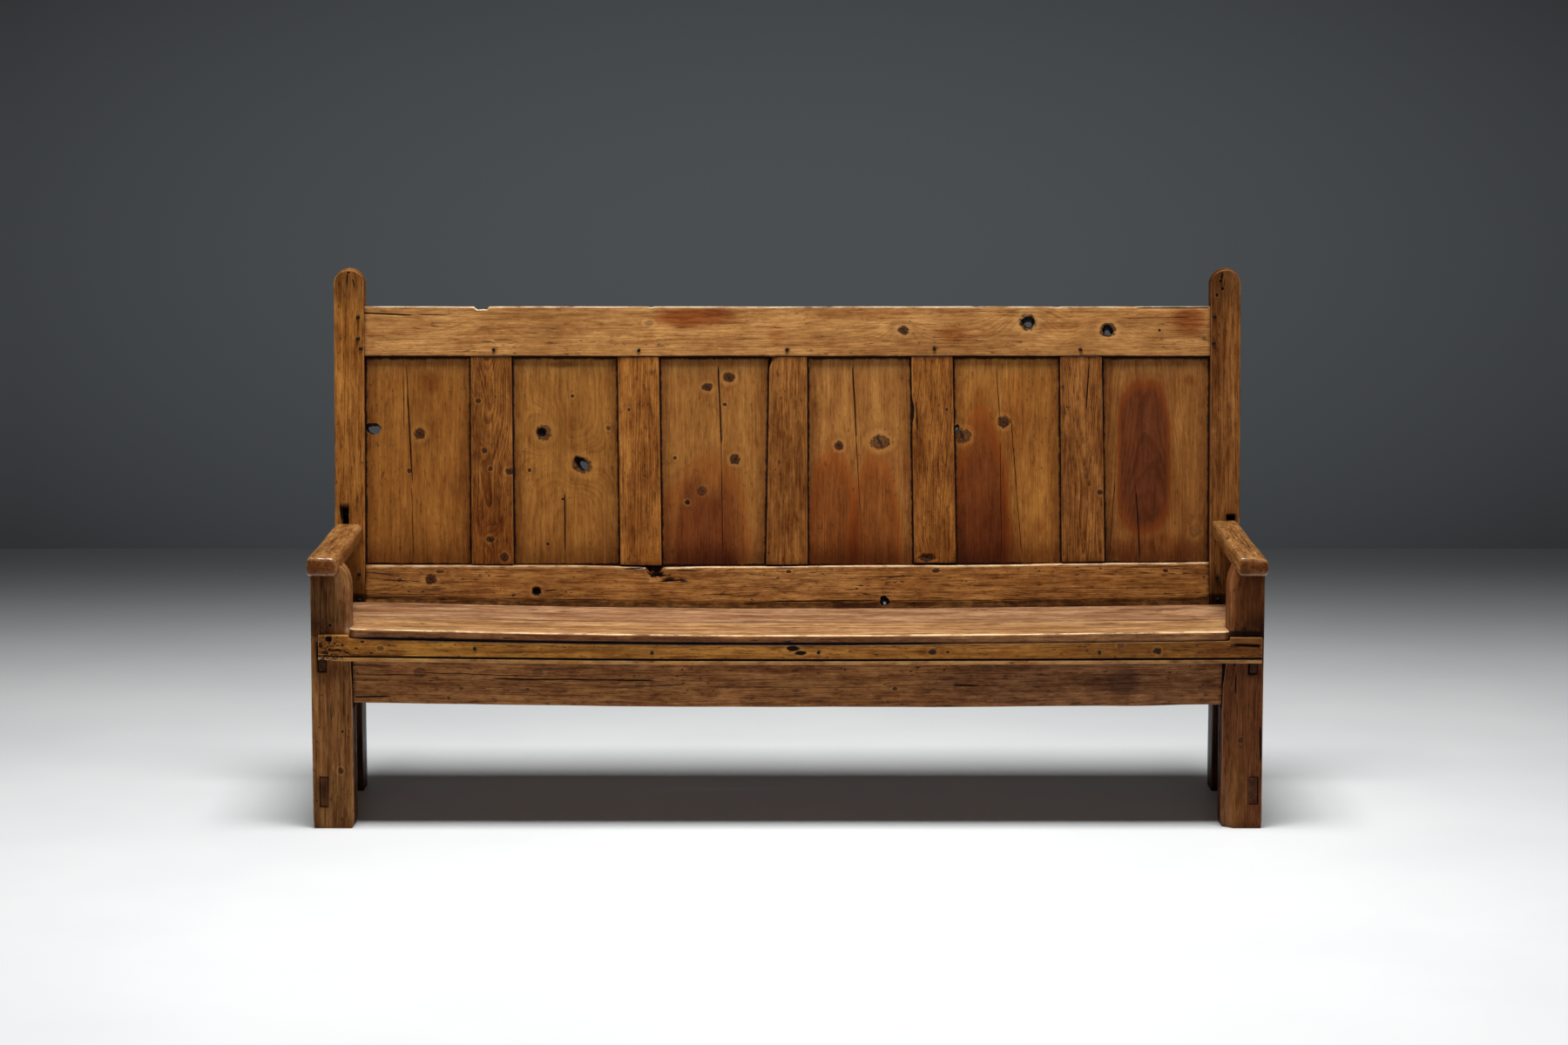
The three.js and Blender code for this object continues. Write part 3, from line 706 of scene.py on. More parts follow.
    fibre = g.noise(g.vec("MULTIPLY", P, (13.0 * long, 250.0, 250.0)), 1.0, 3.0, 0.64)
    fine = g.noise(g.vec("MULTIPLY", g.vec("ADD", P, (7.0, 1.0, 5.0)), (42.0 * long, 135.0, 135.0)), 1.0, 4.0, 0.75)
    streak = g.noise(g.vec("MULTIPLY", P, (4.2, 120.0, 120.0)), 1.0, 4.0, 0.66)
    mottle = g.noise(g.vec("MULTIPLY", g.vec("ADD", P, (2.0, 6.0, 3.0)), (12.0 * long, 38.0, 38.0)), 1.0, 5.0, 0.68)
    band = g.noise(g.vec("MULTIPLY", g.vec("ADD", P, (5.0, 3.0, 1.0)), (1.5, 34.0, 34.0)), 1.0, 3.0, 0.6)
    cloud = g.noise(g.vec("MULTIPLY", P, (3.4, 11.0, 11.0)), 1.0, 4.0, 0.6)
    cloud2 = g.noise(g.vec("MULTIPLY", g.vec("ADD", P, (3.1, 1.7, 4.2)), (9.0, 22.0, 22.0)), 1.0, 4.0, 0.62)

    early = tuple(x * tone * t_ for x, t_ in zip(early, tint))
    late = tuple(x * tone * t_ for x, t_ in zip(late, tint))
    dark_finish = (early[0] * 0.50, early[1] * 0.40, early[2] * 0.34)
    paler = (min(1, early[0] * 1.26), min(1, early[1] * 1.34), min(1, early[2] * 1.5))
    col = g.mix(g.mul(latew, min(1, contrast * 1.15)), early, late)
    col = g.mix(g.step(band, 0.47, 0.72, 0.0, min(1, 0.16 * grit)), col, tuple(x * 0.66 for x in early))
    col = g.mix(g.step(band, 0.46, 0.24, 0.0, min(1, 0.14 * grit)), col, paler)
    col = g.mix(g.step(streak, 0.46, 0.76, 0.0, min(1, 0.24 * grit)), col, tuple(x * 0.80 + y * 0.05 for x, y in zip(late, early)))
    col = g.mix(g.step(streak, 0.42, 0.24, 0.0, min(1, 0.16 * grit)), col, paler)
    # blotches of old finish
    col = g.mix(g.step(cloud, 0.45, 0.78, 0.0, min(1, blotch * 1.9)), col, dark_finish)
    redder = (early[0] * 0.72, early[1] * 0.46, early[2] * 0.36)
    col = g.mix(g.step(cloud2, 0.52, 0.80, 0.0, min(1, red * 2.2)), col, redder)
    col = g.mix(g.step(cloud2, 0.46, 0.22, 0.0, 0.38), col, paler)
    col = g.mix(g.step(fibre, 0.50, 0.76, 0.0, min(1, 0.42 * grit)), col, (late[0] * 0.75, late[1] * 0.7, late[2] * 0.75))
    col = g.mix(g.step(fibre, 0.44, 0.26, 0.0, min(1, 0.24 * grit)), col, paler)
    col = g.mix(g.step(fine, 0.55, 0.74, 0.0, min(1, 0.50 * grit)), col, (late[0] * 0.55, late[1] * 0.50, late[2] * 0.55))
    col = g.mix(g.step(fine, 0.43, 0.28, 0.0, min(1, 0.28 * grit)), col, paler)

    # the whole board's light and dark streaks, deeper and redder where dark
    mixed = g.add(g.add(g.mul(streak, 0.12), g.mul(cloud2, 0.14)), g.add(g.add(g.mul(fibre, 0.20), g.mul(fine, 0.24)), g.mul(mottle, 0.30)))
    shade = g.node("ShaderNodeMapRange", interpolation_type="LINEAR")
    g.put(shade.inputs["Value"], mixed)
    shade.inputs["From Min"].default_value = 0.5 - 0.125 / grit
    shade.inputs["From Max"].default_value = 0.5 + 0.125 / grit
    lit = g.mix(1.0, col, (1.30, 1.38, 1.46), "MULTIPLY")
    dim = g.mix(1.0, col, (0.60, 0.50, 0.44), "MULTIPLY")
    col = g.mix(shade.outputs[0], lit, dim)

    # broad drifts of lighter and darker wood
    drf = g.step(g.noise(g.vec("MULTIPLY", g.vec("ADD", P, (6.0, 2.0, 8.0)), (5.0 * long, 30.0, 30.0)), 1.0, 5.0, 0.66), 0.36, 0.64)
    col = g.mix(drift, col, g.mix(drf, g.mix(1.0, col, (1.26, 1.30, 1.36), "MULTIPLY"), g.mix(1.0, col, (0.66, 0.57, 0.50), "MULTIPLY")))

    # stain patches and painted light: soft ovals or boxes that tint the board; old damp is darker in the middle with a
    # tawny rim, and some boards carry painted shade and painted light here
    for s in stains_and_painted_light:
        ws = g.noise(g.vec("MULTIPLY", P, s.get("grain", (6.0, 34.0, 34.0))), 1.0, 4.0, 0.6)
        a = g.math("DIVIDE", g.math("SUBTRACT", u, s["u"]), s["ru"])
        b = g.math("DIVIDE", g.math("SUBTRACT", v, s["v"]), s["rv"])
        if s.get("box"):
            a, b = g.math("ABSOLUTE", a), g.math("ABSOLUTE", b)
            k = 6.0 if s["box"] is True else s["box"]
            d = g.math("POWER", g.add(g.math("POWER", a, k), g.math("POWER", b, k)), 1 / k)
        else:
            d = g.math("SQRT", g.add(g.mul(a, a), g.mul(b, b)))
        d = g.add(d, g.mul(g.math("SUBTRACT", ws, 0.5), s.get("ragged", 0.5)))
        m = g.step(d, 1.06, 1.06 - s.get("soft", 0.25))
        tint = s.get("tint", (0.55, 0.30, 0.20))
        target = g.mix(1.0, col, tint, "MULTIPLY")
        col = g.mix(g.mul(m, s.get("amount", 0.8)), col, target)
        if s.get("rim"):
            rim = g.mul(g.step(d, 1.06, 0.96), g.step(d, s.get("rimw", 0.62), 0.94))
            col = g.mix(g.mul(rim, s["rim"]), col, (early[0] * 0.74, early[1] * 0.42, early[2] * 0.25))
            col = g.mix(g.mul(g.mul(g.step(d, 1.14, 1.06), g.step(d, 1.00, 1.06)), s["rim"] * 0.6), col, dark_finish)

    # knots
    knot_all = None
    for d, split, k in masks:
        kind = k.get("kind", "red")
        if d is None:
            d = knot_distance(*knot_offsets(k)[2:])
        body = g.step(d, 1.02, 0.80)
        dark = {"red": (0.050, 0.017, 0.008), "black": (0.014, 0.007, 0.004), "tan": (0.115, 0.046, 0.017)}[kind]
        heart = {"red": (0.022, 0.008, 0.004), "black": (0.006, 0.003, 0.002), "tan": (0.050, 0.020, 0.009)}[kind]
        rings = g.math("SINE", g.mul(d, 11.0))
        kc = g.mix(g.step(rings, -0.4, 0.9, 0.0, 0.60), tuple(x * 1.35 for x in dark), heart)
        kc = g.mix(g.step(d, 0.45, 0.1), kc, heart)
        if split is not None:
            kc = g.mix(g.mul(g.step(split, 0.13, 0.05), 0.9), kc, (0.006, 0.003, 0.002))
        eye = g.mul(g.step(d, 2.1, 1.1), 0.34 * k.get("halo", 1.0))
        col = g.mix(eye, col, paler)
        smoke = g.mul(g.mul(g.step(d, 3.4, 2.2), g.step(d, 1.6, 2.2)), 0.25)
        col = g.mix(smoke, col, dark_finish)
        col = g.mix(g.mul(body, k.get("amount", 0.95)), col, kc)
        rim = g.mul(g.step(d, 1.20, 1.04), g.step(d, 0.80, 0.98))
        rim = g.mul(rim, g.step(fine, 0.36, 0.56, 0.25, 1.0))
        col = g.mix(g.mul(rim, 0.85 * k.get("amount", 1.0)), col, (0.012, 0.006, 0.004))
        knot_all = body if knot_all is None else g.math("MAXIMUM", knot_all, body)

    # short dark dashes and pores along the grain
    dash = g.noise(g.vec("MULTIPLY", g.vec("ADD", P, (9.0, 2.0, 6.0)), (26.0 * long, 190.0, 190.0)), 1.0, 2.0, 0.55)
    patch = g.noise(g.vec("MULTIPLY", P, (6.0, 18.0, 18.0)), 1.0, 1.0, 0.5)
    dashm = g.mul(g.step(dash, 0.64, 0.70), g.step(patch, 0.40, 0.62, 0.12, 1.0))
    col = g.mix(g.mul(dashm, dashes), col, (0.035, 0.016, 0.008))

    if checks:
        along, across, lo, amount = checks
        chn = g.noise(g.vec("MULTIPLY", g.vec("ADD", P, (4.0, 8.0, 1.0)), (along, across, across)), 1.0, 2.0, 0.5)
        chm = g.mul(g.step(chn, lo, lo + 0.045), g.step(fibre, 0.34, 0.50, 0.35, 1.0))
        col = g.mix(g.mul(chm, amount), col, (0.045, 0.020, 0.010))
        dashm = g.math("MAXIMUM", dashm, chm)

    if pits:
        pit = g.noise(g.vec("MULTIPLY", g.vec("ADD", P, (1.0, 4.0, 9.0)), (70.0, 135.0, 135.0)), 1.0, 2.0, 0.55)
        where = g.noise(g.vec("MULTIPLY", P, (11.0, 30.0, 30.0)), 1.0, 3.0, 0.6)
        pitm = g.mul(g.step(pit, 0.65, 0.70), g.step(where, 0.42, 0.60, 0.10, 1.0))
        col = g.mix(g.mul(pitm, pits), col, (0.026, 0.013, 0.007))
        dashm = g.math("MAXIMUM", dashm, pitm)

    # specks and worm holes
    vor = g.node("ShaderNodeTexVoronoi", feature="F1", distance="EUCLIDEAN")
    g.put(vor.inputs["Vector"], g.vec("MULTIPLY", P, (95.0, 95.0, 95.0)))
    vor.inputs["Scale"].default_value = 1.0
    rnd = g.split(vor.outputs["Color"])[0]
    speck = g.mul(g.step(vor.outputs["Distance"], 0.11, 0.06), g.step(rnd, 0.93 - 0.25 * min(worms, 1), 0.95 - 0.25 * min(worms, 1)))
    col = g.mix(g.mul(speck, 0.85), col, (0.020, 0.010, 0.006))
    wormm = speck
    if worms:
        v2 = g.node("ShaderNodeTexVoronoi", feature="F1", distance="EUCLIDEAN")
        g.put(v2.inputs["Vector"], g.vec("MULTIPLY", g.vec("ADD", P, (1.3, 4.4, 2.2)), (150.0, 230.0, 230.0)))
        v2.inputs["Scale"].default_value = 1.0
        rnd2 = g.split(v2.outputs["Color"])[1]
        area = g.noise(g.vec("MULTIPLY", P, (9.0, 26.0, 26.0)), 1.0, 2.0, 0.5)
        w2 = g.mul(g.mul(g.step(v2.outputs["Distance"], 0.22, 0.12), g.step(rnd2, 0.62, 0.66)), g.step(area, 0.45, 0.6))
        w2 = g.mul(w2, min(worms, 1.0))
        col = g.mix(w2, col, (0.018, 0.009, 0.005))
        wormm = g.math("MAXIMUM", speck, w2)

    # worn colour and painted sheen on the edges, then old soiling and painted shade in corners, then the cracks and
    # painted black shade
    wear_sheen = g.attr("wear_sheen").outputs["Fac"]
    wn = g.noise(g.vec("MULTIPLY", P, (26.0, 60.0, 60.0)), 1.0, 3.0, 0.6)
    wear_sheen_mask = g.mul(g.mul(wear_sheen, wear_sheen_gain), g.step(wn, 0.32, 0.62))
    # worn colour on rubbed edges; where a board's worn colour is strong, it paints a highlight
    col = g.mix(wear_sheen_mask, col, tuple(min(1, x * y) for x, y in zip(early, worn)))
    grime_shade = g.attr("grime_shade").outputs["Fac"]
    dn = g.noise(g.vec("MULTIPLY", P, (40.0, 60.0, 60.0)), 1.0, 4.0, 0.6)
    grime_and_shade = g.math("MULTIPLY", grime_shade, g.step(dn, 0.25, 0.60, 0.55, 1.15), clamp=True)
    col = g.mix(g.math("MULTIPLY", grime_and_shade, min(1.0, grime_shade_gain * 1.7), clamp=True), col, g.mix(1.0, col, (0.36, 0.27, 0.22), "MULTIPLY"))
    col = g.mix(g.mul(g.step(grime_and_shade, 0.45, 1.0), 0.55), col, (0.022, 0.012, 0.008))
    # painted shade on the faces that lie under other parts
    if underside_shade_tint:
        col = g.mix(g.attr("underside_shade").outputs["Fac"], col, g.mix(1.0, col, underside_shade_tint, "MULTIPLY"))
    if grey:
        gn = g.noise(g.vec("MULTIPLY", P, (12.0, 40.0, 40.0)), 1.0, 4.0, 0.65)
        col = g.mix(g.step(gn, 0.48, 0.75, 0.0, grey), col, (0.20, 0.145, 0.10))
    crack_shade = g.attr("crack_shade").outputs["Fac"]
    crkm = g.step(crack_shade, 0.12, 0.62)
    if edges:
        # black, uneven lines of old soiling and painted shade where a board goes into its groove: (axis, A, B, sign,
        # width)
        ragged = g.noise(g.vec("MULTIPLY", P, (55.0, 55.0, 55.0)), 1.0, 4.0, 0.7)
        ragged = g.mul(g.math("SUBTRACT", ragged, 0.5), 0.0105)
        for axis, A, B, sign, width, reach, amount in edges:
            here, other = (u, v) if axis == "u" else (v, u)
            e = g.mul(g.math("SUBTRACT", here, g.add(g.mul(other, B), A)), sign)
            soft_e = g.add(e, g.mul(ragged, 2.6))
            col = g.mix(g.step(soft_e, reach, 0.002, 0.0, amount), col, g.mix(1.0, col, (0.40, 0.31, 0.27), "MULTIPLY"))
            crkm = g.math("MAXIMUM", crkm, g.step(g.add(e, ragged), width, width * 0.45))
    col = g.mix(g.mul(crkm, 0.97), col, (0.008, 0.004, 0.003))

    # roughness
    ro = g.add(g.mul(g.noise(g.vec("MULTIPLY", P, (16.0, 40.0, 40.0)), 1.0, 3.0, 0.6), 0.22), rough - 0.11)
    ro = g.add(ro, g.mul(latew, -0.06))
    ro = g.add(ro, g.mul(wear_sheen_mask, -0.14))
    ro = g.add(ro, g.mul(grime_and_shade, 0.25))
    ro = g.math("ADD", ro, g.mul(crkm, 0.4), clamp=True)

    # relief
    h = g.mul(latew, 0.00016)
    h = g.add(h, g.mul(fibre, 0.00010))
    h = g.add(h, g.mul(streak, 0.00010))
    h = g.add(h, g.mul(fine, 0.00030))
    h = g.math("SUBTRACT", h, g.mul(dashm, 0.00028))
    h = g.math("SUBTRACT", h, g.mul(wormm, 0.0008))
    dents = g.noise(g.vec("MULTIPLY", P, (38.0, 55.0, 55.0)), 1.0, 3.0, 0.55)
    h = g.add(h, g.mul(dents, 0.00055))
    if knot_all is not None:
        h = g.math("SUBTRACT", h, g.mul(g.mul(knot_all, g.math("ADD", wk, 0.5)), 0.0006))
    bump = g.node("ShaderNodeBump")
    bump.inputs["Strength"].default_value = 0.85
    bump.inputs["Distance"].default_value = 1.0
    g.put(bump.inputs["Height"], h)

    bsdf = g.node("ShaderNodeBsdfPrincipled")
    g.put(bsdf.inputs["Base Color"], col)
    g.put(bsdf.inputs["Roughness"], ro)
    g.put(bsdf.inputs["Normal"], bump.outputs["Normal"])
    bsdf.inputs["IOR"].default_value = 1.45
    bsdf.inputs["Specular IOR Level"].default_value = spec
    g.put(bsdf.inputs["Coat Weight"], g.math("MULTIPLY", wear_sheen, coat, clamp=True))
    bsdf.inputs["Coat Roughness"].default_value = gloss
    out = g.node("ShaderNodeOutputMaterial")
    g.tree.links.new(bsdf.outputs[0], out.inputs["Surface"])
    return g.mat


def forged_iron():
    g = Graph("forged_iron")
    tc = g.node("ShaderNodeTexCoord")
    P = tc.outputs["Object"]
    a = g.noise(P, 420.0, 4.0, 0.6)
    b = g.noise(P, 1500.0, 2.0, 0.6)
    col = g.mix(g.step(a, 0.42, 0.65), (0.008, 0.006, 0.005), (0.024, 0.015, 0.010))
    col = g.mix(g.step(b, 0.60, 0.75, 0.0, 0.5), col, (0.045, 0.020, 0.010))
    bump = g.node("ShaderNodeBump")
    bump.inputs["Strength"].default_value = 0.8
    bump.inputs["Distance"].default_value = 1.0
    g.put(bump.inputs["Height"], g.mul(g.add(a, b), 0.0003))
    bsdf = g.node("ShaderNodeBsdfPrincipled")
    g.put(bsdf.inputs["Base Color"], col)
    bsdf.inputs["Metallic"].default_value = 0.15
    bsdf.inputs["Specular IOR Level"].default_value = 0.12
    g.put(bsdf.inputs["Roughness"], g.add(g.mul(a, 0.35), 0.45))
    g.put(bsdf.inputs["Normal"], bump.outputs["Normal"])
    out = g.node("ShaderNodeOutputMaterial")
    g.tree.links.new(bsdf.outputs[0], out.inputs["Surface"])
    return g.mat


FINISH = {   # how far each board's finish has darkened and yellowed: red, green, blue
    "panel_pine_1": (0.960, 0.775, 0.431), "panel_pine_2": (0.918, 0.798, 0.484), "panel_pine_3": (1.075, 0.950, 0.650), "panel_pine_4": (1.098, 0.979, 0.710),
    "panel_pine_5": (1.035, 0.866, 0.510), "panel_pine_6": (0.898, 0.745, 0.523), "top_rail_pine": (0.889, 0.784, 0.614), "lower_rail_pine": (0.950, 0.876, 0.681),
    "muntin_pine_1": (0.964, 0.780, 0.485), "muntin_pine_2": (0.972, 0.793, 0.492), "muntin_pine_3": (0.836, 0.688, 0.468), "muntin_pine_4": (0.863, 0.674, 0.405),
    "muntin_pine_5": (0.788, 0.648, 0.464), "seat_pine_back": (0.768, 0.739, 0.685), "seat_pine_front": (0.741, 0.705, 0.642), "strip_pine": (0.649, 0.494, 0.299),
    "apron_pine": (0.866, 0.750, 0.527), "leg_pine_left": (0.726, 0.630, 0.442), "leg_pine_right": (0.506, 0.377, 0.305), "post_pine_left": (0.870, 0.736, 0.491),
    "post_pine_right": (0.848, 0.709, 0.510), "arm_pine_left": (0.677, 0.634, 0.530), "arm_pine_right": (0.612, 0.570, 0.471),
    "stretcher_pine_left": (0.485, 0.38, 0.25), "stretcher_pine_right": (0.441, 0.324, 0.221), "side_rail_pine_left": (0.482, 0.402, 0.321), "side_rail_pine_right": (0.482, 0.402, 0.321),
    "ledger_pine": (0.721, 0.638, 0.515), "bearer_pine": (0.721, 0.638, 0.515)}


def knot(u, v, ru, rv, kind="red", **kw):
    return dict(u=u, v=v, ru=ru, rv=rv, kind=kind, **kw)


PX = 1 / 520.0           # one photo pixel at the back, in metres

# ================================================================== the back
POST_IN = 0.934


def panel_x(i):
    left = -POST_IN if i == 0 else (MUNTINS[i - 1][2] + MUNTINS[i - 1][3]) / 2
    right = POST_IN if i == 5 else (MUNTINS[i][0] + MUNTINS[i][1]) / 2
    return left, right


PANEL_FEATURES = [
    dict(knots=[(482, 497, 6.2, 6.2, "red", {}), (470, 540, 2.6, 2.6, "red", {})],
         holes=[(427.5, 491.5, 10.0, 6.4, -0.32)],
         cracks=[(466.5, 412, 468, 452, .55, 1.2), (467.5, 446, 474, 566, .75, 1.6), (462.5, 420, 464, 500, .45, 1.2), (472.5, 560, 475, 645, .55, 1.2)],
         stains_and_painted_light=[dict(px=(494, 438), r=(12, 17), tint=(.66, .52, .44), amount=.75, soft=.6, ragged=.9)]),
    dict(knots=[(624, 496, 8.5, 8.0, "tan", {"halo": 1.2}), (622, 496, 5.2, 5.4, "black", {"pit": 5.0, "halo": 0}), (657, 454, 2.2, 2.2, "red", {}), (607.5, 539, 2.4, 2.2, "red", {}), (698, 491, 3, 2.4, "tan", {}),
                (668, 533, 11.5, 8.5, "tan", {"halo": 1.3, "turn": .62}), (646, 572.5, 1.6, 1.6, "black", {}), (629, 624, 2, 2, "red", {})],
         holes=[(667, 531.5, 9.6, 6.0, -0.62)],
         cracks=[(641, 430, 643.5, 545, .3, .9), (659, 500, 658.5, 600, .35, 1.1), (648, 560, 649, 640, .7, 1.6)],
         stains_and_painted_light=[dict(px=(646, 418), r=(24, 5), tint=(.45, .34, .30), amount=.7, soft=.7, ragged=1.0)]),
    dict(knots=[(812, 444, 5.5, 4.5, "red", {}), (836.6, 433, 6.2, 5.4, "red", {}), (844, 527, 5.6, 5.4, "red", {}), (806, 563, 5.0, 5.0, "red", {"reach": 2.0, "halo": .3, "amount": .75}),
                (789, 576, 3, 3, "black", {}), (832, 464, 2.4, 2, "red", {}), (775, 525, 2.2, 2.2, "red", {})],
         holes=[], cracks=[(824, 414, 828, 505, .80, 1.8), (827.5, 498, 830, 640, .50, 1.2), (868, 430, 867, 520, .3, .8)],
         stains_and_painted_light=[dict(px=(808, 622), r=(54, 96), tint=(.50, .30, .30), amount=.92, soft=.50, ragged=.80, rim=.40), dict(px=(812, 655), r=(46, 40), tint=(.66, .58, .62), amount=.8, soft=.8, ragged=.6)]),
    dict(knots=[(963, 511, 5, 5, "red", {}), (1010, 507, 10, 8, "tan", {"halo": 1.2})],
         holes=[], cracks=[(978.5, 414, 983, 500, .80, 1.8), (982.5, 494, 988, 600, .50, 1.2), (1018, 500, 1022, 470, .3, .8)],
         stains_and_painted_light=[dict(px=(957, 624), r=(30, 118), tint=(.60, .42, .32), amount=.92, soft=.26, ragged=.30, rim=.50), dict(px=(1004, 640), r=(33, 124), tint=(.60, .43, .34), amount=.92, soft=.26, ragged=.30, rim=.46), dict(px=(980, 660), r=(58, 70), tint=(.62, .52, .46), amount=.8, soft=.8, ragged=.4)]),
    dict(knots=[(1152, 484, 6.5, 6.2, "red", {}), (1104.6, 500, 9, 8, "tan", {"halo": 1.3})],
         holes=[(1098.2, 491, 3.2, 4.2, 0.0)],
         cracks=[(1143, 414, 1148, 480, .5, 1.2), (1148, 500, 1150, 640, .42, 1.0), (1160, 470, 1173, 640, .55, 1.4)],
         stains_and_painted_light=[dict(px=(1126, 606), r=(33, 138), tint=(.50, .31, .34), amount=.92, soft=.24, ragged=.30, rim=.55), dict(px=(1136, 640), r=(52, 84), tint=(.60, .50, .48), amount=.85, soft=.6, ragged=.5),
                 dict(px=(1165, 470), r=(16, 60), tint=(.8, .6, .5), amount=.5, soft=.5, ragged=.5)]),
    dict(knots=[(1372, 609, 6, 7, "tan", {"amount": .45, "halo": .6})],
         holes=[], cracks=[(1280, 554, 1273, 645, .5, 1.3), (1304, 562, 1309, 645, .7, 1.6), (1365, 420, 1366, 520, .3, .8)],
         stains_and_painted_light=[dict(px=(1313, 524), r=(31.5, 89), tint=(.40, .25, .33), amount=.94, soft=.14, ragged=.20, rim=.55, rimw=.80, box=3.2),
                 dict(px=(1365, 436), r=(7, 9), tint=(.62, .4, .34), amount=.6, soft=.6, ragged=.8),
                 dict(px=(1325, 632), r=(70, 22), tint=(.70, .5, .42), amount=.7, soft=.6, ragged=.6)]),
]

PANEL_LOOK = [
    dict(pith=(0.40, -0.06), ring=250, contrast=.42, tone=.88, seed=3),
    dict(pith=(0.12, -0.16), ring=210, contrast=.36, tone=.96, seed=5, taper=.05),
    dict(pith=(-0.2, -0.07), ring=250, contrast=.42, tone=.84, seed=8),
    dict(pith=(0.45, -0.05), ring=240, contrast=.44, tone=.93, seed=13),
    dict(pith=(-0.3, -0.04), ring=260, contrast=.44, tone=.90, seed=21),
    dict(pith=(0.10, -0.10), ring=280, contrast=.46, tone=.84, seed=34, taper=.04),
]


def make_panel(i):
    xl, xr = panel_x(i)
    x0, x1 = xl - 0.006, xr + 0.006
    w0 = float(min(lower_rail_top(np.array([x0]))[0], lower_rail_top(np.array([x1]))[0])) - 0.006
    w1 = RAIL_LOW + 0.006
    L, W, T = w1 - w0, x1 - x0, 0.009
    feat = PANEL_FEATURES[i]

    def uv(px, py):
        x, w = on_back(px, py, 0.014)
        return w - w0, x - x0
    knots, holes, cracks, stains_and_painted_light = [], [], [], []
    for (px, py, rx, ry, kind, extra) in feat["knots"]:
        a, b = uv(px, py)
        knots.append(knot(a, b, ry * PX, rx * PX, kind, geo=rx > 2.3, **extra))
    for (px, py, rx, ry, turn) in feat["holes"]:
        a, b = uv(px, py)
        holes.append(Hole(a, b, ry * PX, rx * PX, turn=-turn, seed=i * 3 + len(holes), back=(.74, .62, 1, 1, .5, 1)[i], shift=((-.0035, .0055), (-.0050, .0075), (0, 0), (0, 0), (-.002, .001), (0, 0))[i]))
    for j, (xa, ya, xb, yb, w, depth) in enumerate(feat["cracks"]):
        (a, b), (c, d) = uv(xa, ya), uv(xb, yb)
        cracks.append(Crack(a, b, c, d, w, depth, 1.3, seed=100 * i + j, dark=.70 if w < .65 else .88, open0=yb > 640 or ya > 640, open1=min(ya, yb) < 416))
    # painted light with pale dust across the top of the panel, lifting the shadow the top rail casts there
    stains_and_painted_light.append(dict(u=L - .010, v=W / 2, ru=.052, rv=1.0, tint=(1.30, 1.50, 2.0) if i == 0 else (1.20, 1.34, 1.62), amount=.85, soft=.95, ragged=.5, box=True))
    for s in feat["stains_and_painted_light"]:
        a, b = uv(*s["px"])
        q = dict(s)
        q.update(u=a, v=b, ru=s["r"][1] * PX, rv=s["r"][0] * PX)
        stains_and_painted_light.append(q)

    def place(u, v, n):
        x = x0 + v
        # boards cup a little between their grooves
        cup = 0.0012 * np.sin(np.pi * np.clip(v / W, 0, 1)) * np.sin(np.pi * np.clip(u / L, 0, 1)) * (1 if i % 2 else -0.6)
        return back_point(x, w0 + u, 0.014 - n + cup)

    # the visible edges of the board: beside the muntins or the posts, and under and over the rails
    def side_line(i_m, a, b):
        r0, r1 = MUNTINS[i_m][a], MUNTINS[i_m][b]
        k = (r1 - r0) / (RAIL_LOW - 0.067)
        return r0 + k * (w0 - 0.067) - x0, k
    lA, lB = (0.006, 0.0) if i == 0 else side_line(i - 1, 2, 3)
    rA, rB = (W - 0.006, 0.0) if i == 5 else side_line(i, 0, 1)
    # dark channels of soiling and painted shade beside the muntins or posts, a painted shadow band under the top rail,
    # and a darker line over the lower rail
    edges = [("v", lA, lB, 1, .0062, .036, .70), ("v", rA, rB, -1, .0062, .036, .70), ("u", L - .006, 0.0, -1, .0100, .030, .42), ("u", .0080, 0.0, 1, .0030, .070, .62)]

    def dirt_and_shade(u, v, n):
        low = u - 0.006
        return np.clip(np.exp(-np.clip(low, 0, 1) / 0.040) * 0.30, 0, 1)
    data = build_board(L, W, T, place, du=.012, dv=.010, r=(.6, .6, .6, .6), re=(.6, .6), wav=.45,
                       cracks=cracks, knots=knots, holes=holes, seed=40 + i, dirt_and_shade=dirt_and_shade, nmid=1)
    look = PANEL_LOOK[i]
    mat = pine(f"panel_pine_{i + 1}", knots=knots, stains_and_painted_light=stains_and_painted_light, early=(0.43, 0.205, 0.066), late=(0.235, 0.082, 0.019),
               blotch=.34, grime_shade_gain=.62, red=.20, rough=.46, wear_sheen_gain=.1, dashes=.45, grit=.85, drift=.30, coat=.2, edges=edges, pits=.45, **look)
    finish_piece(f"panel_board_{i + 1}", f"back_panel_{i + 1}", data, mat)


